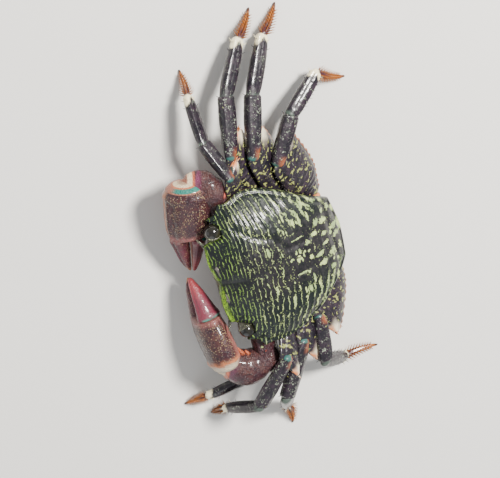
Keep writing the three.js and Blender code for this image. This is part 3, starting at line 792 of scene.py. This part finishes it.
def claw_paint(make, kind, look, outer):
    """Purple-brown grains over a rosy ground, with warm rims and teal skin at the joints."""
    clean, upper, deep = make.field("zone")
    coarse = make.noise(380.0)
    fine = make.noise(1500.0, 2.0)
    t = make.plus(clean, make.sway(coarse, 0.12))
    grains = make.group("Granules", scale=2100.0)
    crown = grains["Crown"]
    grain_colours = ("5c3a34", "a38f68") if kind == "palm" else ("432a33", "5d4a44")
    colour = make.over(make.mottle(coarse, look.claw, "472a27"), "23141a", make.between(fine, 0.45, 0.7))
    colour = make.layers(
        colour,
        (grain_colours[0], crown, 0.55),
        (grain_colours[1], crown, (coarse, 0.38, 0.54), 0.65))
    if kind == "palm":
        ragged = make.plus(upper, make.sway(fine, 0.14))
        colour = make.layers(
            colour,
            (look.rim, (ragged, -0.78, -0.92), (t, 0.5, 0.42), 0.8),
            ("7c4a42", (upper, -0.955, -0.99)),
            ("8d5350", (t, 0.42, 0.5), (t, 0.6, 0.52), 0.55),
            (look.finger, (t, 0.52, 0.66), 0.35))
        if outer > 0:
            side = make.between(make.plus(upper, make.times(deep, 0.5)), -0.5, 0.1)
            colour = make.layers(
                colour,
                ("8f5a48", (clean, -0.068, -0.08)),
                ("1f6a5f", (clean, -0.082, -0.09), side),
                ("a8603f", (clean, -0.118, -0.124)),
                ("c4b090", (clean, -0.128, -0.132)),
                ("8a705a", (clean, -0.14, -0.146)))
        else:
            colour = make.layers(
                colour,
                ("a9653f", (t, 0.06, 0.0)),
                ("b5a68f", (t, 0.0, -0.04)),
                ("55303a", (clean, -0.1, -0.12)))
        inside = make.between(make.times(deep, float(outer)), -0.2, -0.7)
        colour = make.layers(
            colour,
            ("a5675e", inside, 0.7),
            ("c98d6d", (t, 0.93, 1.0)))
    if kind == "finger":
        colour = make.layers(
            colour,
            (look.finger, 0.75 if outer < 0 else 0.45),
            (look.finger_tip, (t, 0.7, 0.95)),
            ("2f8577", (t, 0.56, 0.5), (upper, 0.3, 0.8)),
            ("cfa58c", (upper, -0.6, -0.9)))
    if kind == "carpus":
        rings, purple = (0.66, "6a2c4c") if outer > 0 else (0.88, "4d2638")
        patchy = make.between(coarse, 0.3, 0.6)
        colour = make.layers(
            colour,
            (purple, (t, rings - 0.22, rings), patchy),
            ("a8583c", (clean, rings, rings + 0.07)),
            ("c9b595", (clean, rings + 0.09, rings + 0.13)),
            ("7a4a3a", (clean, rings + 0.22, rings + 0.3)))
    if kind == "merus":
        colour = make.layers(
            colour,
            ("b2584a", (t, 0.9, 1.0)),
            ("8a9a62", make.flecks(620.0, 0.26)))
    distance = 0.00004 if kind == "finger" else 0.00014
    return make.surface(colour, (0.3, 0.55), grains["Height"], 0.3, distance)


def belly_paint(make, look):
    """Pale plates with darker seams, and dark flecked flanks."""
    _, depth, seam = make.field("zone")
    coarse = make.noise(300.0, 4.0)
    fine = make.noise(1800.0)
    colour = make.mix(make.between(coarse, 0.3, 0.7), look.belly, "b7a88c")
    colour = make.over(colour, "8a7c6a", (fine, 0.5, 0.75), 0.5)
    dark = make.between(make.plus(depth, make.times(coarse, 0.3)), 0.3, 0.75)
    colour = make.layers(
        colour,
        ("4a4450", dark),
        ("a9a98c", make.flecks(1100.0, 0.36), dark),
        ("6c5b4c", (seam, 0.2, 0.9)))
    return make.surface(colour, (0.32, 0.55), fine, 0.5, 0.00006)


def mouth_paint(make):
    """Grey-brown plates with pale specks."""
    colour = make.mottle(make.noise(420.0), "46403f", "69625a")
    colour = make.layers(
        colour,
        ("3b3236", (make.noise(1600.0, 2.0), 0.5, 0.7), 0.5),
        ("b3ac98", make.flecks(1400.0, 0.34)))
    return make.surface(colour, (0.25, 0.45), 0.0, 1.0, 0.00004)


def stalk_paint(make, ring):
    """Mottled grey, with a pale ring round the end as strong as ring says."""
    t, _, _ = make.field("zone")
    colour = make.mottle(make.noise(700.0), "26261f", "46443a")
    colour = make.layers(
        colour,
        ("26251f", (make.noise(2400.0, 2.0), 0.5, 0.65)),
        ("8c9470", make.flecks(1900.0, 0.42)),
        ("8d8f70", (t, 0.86, 1.04), ring))
    return make.surface(colour, (0.25, 0.5), 0.0, 1.0, 0.00005)


def eye_paint(make):
    """A dark facetted eye with dim bands."""
    coarse = make.noise(900.0, 2.0)
    colour = make.mottle(coarse, "0c0c0a", "1c1a14")
    colour = make.over(colour, "343222", (make.noise(300.0, 1.0), 0.5, 0.6), 0.35)
    rough = make.plus(0.08, make.times(coarse, 0.08))
    dome = make.between(make.cells(6500.0), 0.7, 0.0)
    return {"Base Color": colour, "Roughness": rough, "Normal": make.bump(dome, 0.00001, 0.4)}


def floor_paint(make, look):
    return {"Base Color": make.mix(make.noise(14.0, 4.0), look.floor, "e2e0dc")}


# What a user can change ----------------------------------------------------------------------------------


def colour_setting(name, description, code):
    return bpy.props.FloatVectorProperty(name=name, description=description, default=tint(code)[:3], min=0,
                                         max=1, size=3, subtype="COLOR")


def power_setting(name, description, watts):
    return bpy.props.FloatProperty(name=name, description=description, default=watts, min=0, unit="POWER")


class CrabShellLook(bpy.types.PropertyGroup):
    middle: colour_setting("Middle", "Ground colour in the middle of the back", "1f1c1f")
    flank: colour_setting("Flanks", "Ground colour at the sides of the back", "111917")
    stripe: colour_setting("Stripes", "Colour of the thin stripes", "93a96c")
    patch: colour_setting("Patches", "Colour of the larger pale patches", "b3c27a")
    front_band: colour_setting("Front band", "Colour of the band along the front edge", "739812")
    rows: bpy.props.IntProperty(name="Rows", description="Rows of the shell's grid from pole to pole",
                                default=176, min=40, max=400)


class CrabLegLook(bpy.types.PropertyGroup):
    ground: colour_setting("Ground", "Darkest colour of the legs", "17141b")
    ground_two: colour_setting("Second ground", "Warmer dark colour of the legs", "2a1f29")
    fleck: colour_setting("Flecks", "Colour of the small pale flecks", "8f9a86")
    spot: colour_setting("Spots", "Colour of the larger spots on the broad articles", "868a4c")
    rim: colour_setting("Rims", "Colour of the rims at the knees", "c47746")
    tip: colour_setting("Tips", "Colour of the pale ends of the legs", "e6dcb8")
    toe: colour_setting("Toes", "Colour of the toes", "95561a")
    belly: colour_setting("Underside", "Colour of the underside", "c6bb9f")
    bristle: bpy.props.FloatProperty(name="Bristle length", description="Length of the bristles on the toes",
                                     default=0.0012, min=0.0002, max=0.002, unit="LENGTH",
                                     subtype="DISTANCE")


class CrabClawLook(bpy.types.PropertyGroup):
    claw: colour_setting("Claws", "Ground colour of the claws", "32191f")
    rim: colour_setting("Lower ridge", "Colour of the lower edge of the hands", "a4643f")
    finger: colour_setting("Fingers", "Colour of the fingers", "6e2a3a")
    finger_tip: colour_setting("Finger tips", "Colour towards the finger tips", "85363a")


class CrabStageLook(bpy.types.PropertyGroup):
    floor: colour_setting("Floor", "Colour of the floor", "d9d7d2")
    key_power: power_setting("Key light", "Strength of the main light", 12.0)
    fill_power: power_setting("Fill light", "Strength of the second light", 1.2)


# The pieces ----------------------------------------------------------------------------------------------


class CRAB_OT_shell(bpy.types.Operator):
    """Add the striped shell of the back"""

    bl_idname = "crab.shell"
    bl_label = "Shell"

    def execute(self, context):
        look = context.scene.crab_shell
        bm = bmesh.new()
        skin(bm, SHELL_AROUND, look.rows, shell_shape(edge_loop(SHELL_AROUND)))
        material = finish("striped shell", shell_paint, look, Coat_Weight=0.25, Coat_Roughness=0.1,
                          Specular_IOR_Level=0.22)
        add_piece(bm, "shell", material, "carapace", STANDING @ BODY)
        return {"FINISHED"}


def breastplate_shape(loop):
    """The flanks under the shell and the breastplate between the legs, with its seams."""
    def shape(turn, share):
        p = loop[np.round(turn * len(loop)).astype(int) % len(loop)]
        level = share * (len(FLANK_ROWS) - 1)
        r, z = smooth_rows(FLANK_ROWS, level)
        r = np.clip(r, 0, 0.935)
        r[(share < 1e-6) | (share > 1 - 1e-6)] = 0
        below = step(level, 2.6, 3.4)
        y = p[:, 1] * r
        lift = below * step(y, 0, 16) * 3.6 + (1 - below) * (edge_height(y) - SIDE_EDGE_Z)
        x = p[:, 0] * r * (1 - 0.03 * below)
        y = np.maximum(y * np.where(p[:, 1] < 0, 1 + 0.16 * below, 1), FRONT_Y + 2.6)
        under = step(level, 5, 6.2)
        seams = hump(x, 0, 0.25) * step(-y, 0, 1)
        for at in SEAMS_Y:
            seams = np.maximum(seams, hump(y - 0.16 * np.abs(x), at, 0.28) * step(np.abs(x), 1.5, 2.5))
        seams *= under
        fold = hump(level, 4.6, 0.16) * 0.8
        places = np.stack([x, y, z + lift], 1)
        out = 0.1 * grain(places, 1.6, 5) * below - 0.3 * seams - 0.25 * fold
        places[:, 2] -= out * under
        places[:, :2] *= (1 + out * (1 - under) / 14)[:, None]
        return places, {"zone": np.stack([0 * x, 1 - under, np.maximum(seams, fold * below)], 1)}
    return shape


def flap_rings(local, unit):
    """Narrows the tail flap towards the front and cuts the joints between its rings."""
    y = local[:, 1]
    local[:, 0] *= 1 - 0.34 * step(-y, -4.5, 6.5)
    for at in FLAP_RINGS_Y:
        local[:, 2] *= 1 - 0.26 * hump(y, at, 0.22)
        local[:, 0] *= 1 - 0.05 * hump(y, at, 0.3)
    return local


class CRAB_OT_underside(bpy.types.Operator):
    """Add the breastplate with its flanks, and the tail flap folded under it"""

    bl_idname = "crab.underside"
    bl_label = "Underside"

    def execute(self, context):
        material = finish("pale underside", belly_paint, context.scene.crab_legs, Coat_Weight=0.25,
                          Coat_Roughness=0.2)
        around, rows = PLATE_GRID
        bm = bmesh.new()
        skin(bm, around, rows, breastplate_shape(edge_loop(around)))
        add_piece(bm, "breastplate", material, "thorax", STANDING @ BODY)
        bm = bmesh.new()
        cushion(bm, tilted(FLAP["middle"], FLAP["tilt"]), FLAP["half"], (72, 64), 0.75, flap_rings)
        add_piece(bm, "tail_flap", material, "abdomen", STANDING @ BODY)
        return {"FINISHED"}


def mouth_plate(bm, side):
    """Adds one plate over the mouth, with the bristles on its inner edge."""
    def plate(local, unit):
        local[:, 1] *= 1 - 0.3 * hump(local[:, 2], -0.8, 0.2)
        local[:, 1] += -0.18 * hump(local[:, 0] * side, 1.2, 0.35) * (unit[:, 1] < 0)
        local[:, 0] *= 1 - 0.22 * step(local[:, 2], 0.5, 3.6) - 0.2 * step(-local[:, 2], 1.5, 3.9)
        return local

    x, y, z = MOUTH["middle"]
    placed = tilted((side * x, y, z), MOUTH["tilt"])
    cushion(bm, placed, MOUTH["half"], (56, 48), 0.5, plate)
    for n in range(MOUTH["bristles"]):
        high = 2.8 - n * 0.38
        foot = placed @ Vector((-side * 2.35, -0.5, high))
        tip = placed @ Vector((-side * (3.2 + 0.15 * math.sin(n * 2.3)), -1.05, high - 0.5))
        spine(bm, foot, tip, 0.13, (0, 0, 0), 4)


class CRAB_OT_face(bpy.types.Operator):
    """Add the eyes on their stalks, the feelers and the plates over the mouth"""

    bl_idname = "crab.face"
    bl_label = "Face"

    def execute(self, context):
        eye_finish = finish("dark eye", eye_paint, Coat_Weight=0.6, Coat_Roughness=0.03,
                            Specular_IOR_Level=0.3)
        stalk_finish = finish("mottled stalk", stalk_paint, 0.8, **WET)
        feeler_finish = finish("dark feeler", stalk_paint, 0.1, **WET)
        mouth_finish = finish("mouth plates", mouth_paint, **WET)

        def stalk_carving(t, lon, at):
            return 0.04 * grain(at, 0.6, 3) - 0.12 * hump(t, 0.5, 0.06)

        def feeler_carving(t, lon, at):
            return 0.05 * np.cos(TAU * t * 13) * step(t, 0.15, 0.3) + 0.2 * hump(t, 0.02, 0.12)

        for side_name, side in SIDES:
            eye_at = body_point(EYE["middle"], side)
            bm = bmesh.new()
            cushion(bm, Matrix.Translation(eye_at), (EYE["radius"],) * 3, (48, 32), 1.0)
            add_piece(bm, f"eye_ball_{side_name}", eye_finish, f"eye_{side_name}")

            bm = bmesh.new()
            article(bm, "coxa", (body_point(STALK["from"], side), eye_at), Vector((0, 1, 0)),
                    (STALK["broad"],) * 2, (48, 40), stalk_carving, outline=STALK_OUTLINE)
            add_piece(bm, f"stalk_{side_name}", stalk_finish, f"eyestalk_{side_name}")

            ends = (body_point(FEELER["from"], side), body_point(FEELER["to"], side))
            bm = bmesh.new()
            article(bm, "dactylus", ends, Vector((0, 0, 1)), (FEELER["broad"],) * 2, (20, 96), feeler_carving)
            add_piece(bm, f"feeler_{side_name}", feeler_finish, f"antenna_{side_name}")

            bm = bmesh.new()
            mouth_plate(bm, side)
            add_piece(bm, f"mouth_plate_{side_name}", mouth_finish, f"maxilliped_{side_name}",
                      STANDING @ BODY)
        return {"FINISHED"}


def leg_joints(side_name, side, n):
    """Where one leg's joints are, from its root to its toe."""
    leg = LEGS[n]
    joints = [body_point(leg["root"], side)]
    for long, (swing, rise) in zip(leg["long"], POSE[side_name][n]):
        at = joints[-1]
        slope = -math.asin((at.z - FOOT_Z) / long) if rise is None else math.radians(rise)
        level = long * math.cos(slope)
        swing = math.radians(swing)
        way = (side * level * math.cos(swing), level * math.sin(swing), long * math.sin(slope))
        joints.append(at + Vector(way))
    return joints


def leg_carving(kind, n, length):
    """Raised lines, keels and fine grain of one article."""
    def carve(t, lon, at):
        upper = np.cos(lon)
        out = 0.035 * grain(at, 0.7, 7) + 0.03 * grain(at, 2.2, 8)
        if kind == "merus":
            lines = (0.5 + 0.5 * np.cos(TAU * (t * length / 1.15 + 0.5 * grain(at, 2.5, 9)))) ** 4
            lines *= (1 - np.abs(upper) ** 6) * step(t, 0.02, 0.12) * step(grain(at, 1.8, 4), -0.35, 0.1)
            teeth = np.abs((t * length / 1.25) % 1 - 0.5) * 2
            out += 0.1 * lines + 0.26 * step(upper, 0.93, 1.0)
            out += step(-upper, 0.95, 1.0) * (0.24 + (0.42 if n == LAST_LEG else 0.2) * teeth)
            out -= 0.22 * hump(upper, 0.8, 0.09)
        if kind in ("carpus", "propodus"):
            keel = 0.2 if kind == "carpus" else 0.14
            for middle in (0.62, math.pi - 0.75):
                near = np.abs(np.abs((lon + math.pi) % TAU - math.pi) - middle)
                out += keel * hump(near, 0, 0.2) * step(t, -0.02, 0.15)
            out -= 0.12 * hump(upper, 0.25, 0.25) * step(t, 0, 0.2)
            out += 0.1 * hump(t, 0.97, 0.04)
        if kind == "dactylus":
            out += 0.07 * np.cos(4 * lon) * step(t, 0.05, 0.2) * (1 - step(t, 0.7, 1))
        return out
    return carve


def bristle_rows(kind, n):
    """Where an article's thorns and bristles stand: t, the angle round it, the length as a share of the
    setting, and the radius."""
    rows = []
    if kind == "dactylus":
        for row in range(8):
            lon = TAU * (row + 0.5) / 8
            first = 0.06 + 0.04 * (row % 2)
            rows += [(first + 0.09 * k, lon, 1.25 - 0.07 * k, 0.15) for k in range(9)]
    if kind == "propodus":
        for lon in (0.3, 1.2, 2.2, 3.1, 4.1, 5.1, 5.9):
            rows += [(0.9 + 0.03 * (lon % 1), lon, 1.05, 0.12), (0.76, lon + 0.2, 0.8, 0.11)]
        rows += [(0.2 + 0.09 * k, math.pi + 0.1 * (-1) ** k, 0.7, 0.1) for k in range(6)]
    if kind == "carpus":
        rows += [(0.98, lon, 0.8, 0.15) for lon in (0.5, -0.5)]
    if kind == "merus":
        rows += [(0.97, math.pi + d, 1.1, 0.24) for d in (-0.5, -0.15, 0.25)]
        rows += [(0.96, 0.1, 0.9, 0.24), (0.84, math.pi + 0.2, 0.8, 0.2)]
        if n == LAST_LEG:
            rows += [(0.25 + 0.1 * k, 0.06 * (-1) ** k, 0.75, 0.14) for k in range(7)]
    return rows


def leg_bristles(bm, kind, placed, length, size, n, bow, bristle):
    """Adds an article's thorns and bristles, but for those that would reach the floor."""
    lean = 0.65 if kind in ("dactylus", "propodus") else 0.5
    for t, lon, share, radius in bristle_rows(kind, n):
        long = share * bristle
        foot = on_article(placed, length, kind, size, t, lon, bow, -0.12)
        tip = on_article(placed, length, kind, size, t + lean * long / length, lon, bow, long * 0.85)
        if tip.z < 0.05 or foot.z < 0.1:
            continue
        colour_t = 0.75 if kind == "dactylus" else t
        spine(bm, foot, tip, radius, (colour_t, math.cos(lon), math.sin(lon)), 5)


class CRAB_OT_legs(bpy.types.Operator):
    """Add the eight walking legs, each with its hip, its four articles and their bristles"""

    bl_idname = "crab.legs"
    bl_label = "Walking legs"

    def execute(self, context):
        look = context.scene.crab_legs
        finishes = {}
        for kind in (*ARTICLES, "coxa"):
            gloss = dict(WET, Coat_Weight=0.15) if kind == "dactylus" else WET
            finishes[kind] = finish(f"leg {kind}", leg_paint, kind, look, **gloss)
        for side_name, side in SIDES:
            for n in range(len(LEGS)):
                self.add_leg(side_name, side, n, finishes, look.bristle / MM)
        return {"FINISHED"}

    def add_leg(self, side_name, side, n, finishes, bristle):
        leg = LEGS[n]
        joints = leg_joints(side_name, side, n)
        back = (Vector((0, 0, 1)).cross(joints[1] - joints[0]) * side).normalized()
        lean = math.radians(leg["lean"])
        hinge = (Vector((0, 0, math.cos(lean))) + back * math.sin(lean)) * -side

        def hip_carving(t, lon, at):
            return 0.06 * grain(at, 1.2, 6) - 0.3 * hump(t, 0.62, 0.05)

        x, y, z = leg["root"]
        hip = body_point((x - HIP["inward"], y * HIP["forward"], z - HIP["lower"]), side)
        bm = bmesh.new()
        article(bm, "coxa", (hip, joints[0]), hinge, HIP["size"], (40, 32), hip_carving)
        add_piece(bm, f"{side_name}_hip_{n + 1}", finishes["coxa"], f"coxa_{side_name}_{n + 1}")

        for k, (kind, grid) in enumerate(ARTICLES.items()):
            ends = joints[k:k + 2]
            size = (leg["broad"][k], leg["thick"][k])
            bow = TOE_BOW if kind == "dactylus" else 0.0
            carve = leg_carving(kind, n, (ends[1] - ends[0]).length)
            bm = bmesh.new()
            placed, length = article(bm, kind, ends, hinge, size, grid, carve, bow)
            leg_bristles(bm, kind, placed, length, size, n, bow, bristle)
            add_piece(bm, f"{side_name}_leg_{n + 1}_{kind}", finishes[kind],
                      f"leg_{side_name}_{n + 1}_{kind}")


def hand_tables():
    """The hand's outline, split along the gape into the palm with its fixed finger and the movable finger."""
    fine = np.linspace(OUTLINES["claw"][0][0], 1.0, 56)
    upper, lower, depth = smooth_rows(OUTLINES["claw"], fine)
    bite = 0.01 * np.abs(np.sin(fine * 46)) * step(fine, 0.56, 0.62)
    line = -0.02 * step(fine, 0.6, 0.9)
    split = step(fine, KNUCKLE - 0.045, KNUCKLE + 0.02)
    palm_upper = upper * (1 - split) + (line - GAPE + bite) * split
    palm = np.stack([fine, palm_upper, lower, depth * (1 - 0.12 * split)], 1)
    finger = np.stack([fine, upper, -(line + GAPE - bite), depth * 0.94], 1)
    return palm, finger[fine > KNUCKLE - 0.06]


def arm_carving(t, lon, at):
    return 0.09 * grain(at, 0.8, 11) + 0.25 * step(np.cos(3 * lon), 0.7, 1) - 0.1


def wrist_carving(t, lon, at):
    return 0.07 * grain(at, 0.7, 12) + 0.12 * grain(at, 3, 13) + 0.22 * hump(t, 0.96, 0.05)


def hand_carving(outer):
    """Grain, a ridge with a groove beside it on the outer side, and rims at the wrist and the knuckle."""
    def carve(t, lon, at):
        away = np.abs((lon - outer * RIDGE_ANGLE + math.pi) % TAU - math.pi)
        along = step(t, 0, 0.1) * (1 - step(t, 0.8, 1))
        out = 0.06 * grain(at, 0.75, 14) * (1 - 0.6 * step(t, 0.5, 0.8))
        out += (0.3 * hump(away, 0, 0.13) - 0.22 * hump(away, 0.3, 0.16)) * along
        out += 0.3 * hump(t, 0.0, 0.035)
        return out + 0.25 * hump(t, KNUCKLE - 0.03, 0.03) * step(np.cos(lon), -0.4, 0.2)
    return carve


def finger_carving(t, lon, at):
    out = 0.03 * grain(at, 0.8, 15) - 0.18 * hump(np.cos(lon), 0.45, 0.16) * step(t, 0.55, 0.62)
    return out + 0.14 * hump(t, KNUCKLE + 0.02, 0.025)


class CRAB_OT_claws(bpy.types.Operator):
    """Add both claws, with their arms, hands and fingers"""

    bl_idname = "crab.claws"
    bl_label = "Claws"

    def execute(self, context):
        for side_name, side in SIDES:
            self.add_claw(side_name, side, context.scene.crab_claws)
        return {"FINISHED"}

    def add_claw(self, side_name, side, look):
        claw = CLAWS[side_name]
        joints = [Vector(claw[key]) for key in ("root", "elbow", "wrist", "tip")]
        level = Vector((0, 0, 1))
        finishes = {kind: finish(f"{side_name} claw {kind}", claw_paint, kind, look, claw["outer"], **WET)
                    for kind in ("merus", "carpus", "palm", "finger")}

        def add(bm, piece, kind):
            add_piece(bm, f"{side_name}_claw_{piece}", finishes[kind], f"claw_{side_name}_{kind}")

        bm = bmesh.new()
        size = CLAW_SIZE["merus"]
        placed, length = article(bm, "clawMerus", joints[:2], level, size, (72, 72), arm_carving)
        for k in range(5):
            foot = on_article(placed, length, "clawMerus", size, 0.35 + 0.14 * k, math.pi / 2, 0, -0.2)
            spine(bm, foot, foot + Vector((0, -0.3, 0.7)), 0.3, (0.95, 0, 0), 6)
        add(bm, "merus", "merus")

        bm = bmesh.new()
        bow = side * claw["bow"]
        placed, length = article(bm, "clawCarpus", joints[1:3], level, CLAW_SIZE["carpus"], (96, 96),
                                 wrist_carving, bow, claw.get("wrist_outline"))
        inner = placed @ Vector((-side * 3.7 + bow * 0.8, 1.2, length * 0.6))
        for k, (x, z, long) in enumerate(WRIST_TEETH):
            foot = inner + Vector((side * x, z, 0))
            tip = foot + Vector((-side, -0.3, 0.2)) * long
            spine(bm, foot, tip, 0.8 - 0.1 * k, (0.97, 0, 0), 8)
        add(bm, "carpus", "carpus")

        palm_table, finger_table = hand_tables()
        face = Vector(claw["face"])
        bm = bmesh.new()
        article(bm, "claw", joints[2:], face, CLAW_SIZE["palm"], (120, 150), hand_carving(claw["outer"]),
                outline=palm_table)
        add(bm, "hand", "palm")
        bm = bmesh.new()
        article(bm, "claw", joints[2:], face, CLAW_SIZE["palm"], (80, 110), finger_carving,
                outline=finger_table)
        add(bm, "dactyl", "finger")


class CRAB_OT_stage(bpy.types.Operator):
    """Set up the floor, the lights and the camera"""

    bl_idname = "crab.stage"
    bl_label = "Stage"

    def execute(self, context):
        look = context.scene.crab_stage
        scene = context.scene

        bm = bmesh.new()
        bmesh.ops.create_grid(bm, x_segments=4, y_segments=4, size=FLOOR_HALF)
        mesh = bpy.data.meshes.new("floor")
        bm.to_mesh(mesh)
        bm.free()
        mesh.materials.append(finish("pale floor", floor_paint, look, Roughness=0.7))
        floor = bpy.data.objects.new("floor", mesh)
        scene.collection.objects.link(floor)

        for name, place, size, power, colour in (
                ("key light", (-0.24, 0.3, 0.5), 0.13, look.key_power, (1.0, 0.97, 0.92)),
                ("fill light", (0.6, -0.3, 0.35), 0.7, look.fill_power, (0.93, 0.96, 1.0)),
                ("front light", (-0.1, -0.75, 0.25), 0.6, look.fill_power * 0.6, (1.0, 1.0, 1.0))):
            lamp = bpy.data.lights.new(name, "AREA")
            lamp.shape = "DISK"
            lamp.size = size
            lamp.energy = power
            lamp.color = colour
            made = bpy.data.objects.new(name, lamp)
            made.location = place
            made.rotation_euler = (-Vector(place)).to_track_quat("-Z", "Y").to_euler()
            scene.collection.objects.link(made)

        world = bpy.data.worlds.new("studio")
        world.use_nodes = True
        sky = world.node_tree.nodes["Background"].inputs
        sky["Color"].default_value = SKY_COLOUR
        sky["Strength"].default_value = SKY_STRENGTH
        scene.world = world

        data = bpy.data.cameras.new("camera")
        data.lens = CAMERA_LENS
        data.sensor_width = CAMERA_SENSOR
        data.clip_start = 0.01
        camera = bpy.data.objects.new("camera", data)
        turned = Matrix(CAMERA_AXES).transposed().to_4x4()
        camera.matrix_world = Matrix.Translation(CAMERA_PLACE) @ turned
        scene.collection.objects.link(camera)
        scene.camera = camera
        return {"FINISHED"}


class CRAB_PT_parts(bpy.types.Panel):
    """Lists the crab's pieces and settings"""

    bl_idname = "CRAB_PT_parts"
    bl_label = "Striped shore crab"
    bl_space_type = "VIEW_3D"
    bl_region_type = "UI"
    bl_category = "Crab"

    def draw(self, context):
        for operator in OPERATORS:
            self.layout.operator(operator.bl_idname)
        for settings in SETTINGS:
            box = self.layout.box()
            group = getattr(context.scene, settings)
            for name in group.bl_rna.properties.keys():
                if name not in ("rna_type", "name"):
                    box.prop(group, name)


SETTINGS = {"crab_shell": CrabShellLook, "crab_legs": CrabLegLook, "crab_claws": CrabClawLook,
            "crab_stage": CrabStageLook}
OPERATORS = (CRAB_OT_stage, CRAB_OT_shell, CRAB_OT_underside, CRAB_OT_face, CRAB_OT_legs, CRAB_OT_claws)


def register():
    for settings, group in SETTINGS.items():
        bpy.utils.register_class(group)
        setattr(bpy.types.Scene, settings, bpy.props.PointerProperty(type=group))
    for operator in OPERATORS:
        bpy.utils.register_class(operator)
    bpy.utils.register_class(CRAB_PT_parts)


def unregister():
    bpy.utils.unregister_class(CRAB_PT_parts)
    for operator in reversed(OPERATORS):
        bpy.utils.unregister_class(operator)
    for settings, group in SETTINGS.items():
        delattr(bpy.types.Scene, settings)
        bpy.utils.unregister_class(group)


def main():
    register()
    bpy.ops.crab.stage()
    bpy.ops.crab.shell()
    bpy.ops.crab.underside()
    bpy.ops.crab.face()
    bpy.ops.crab.legs()
    bpy.ops.crab.claws()


if __name__ == "__main__":
    main()
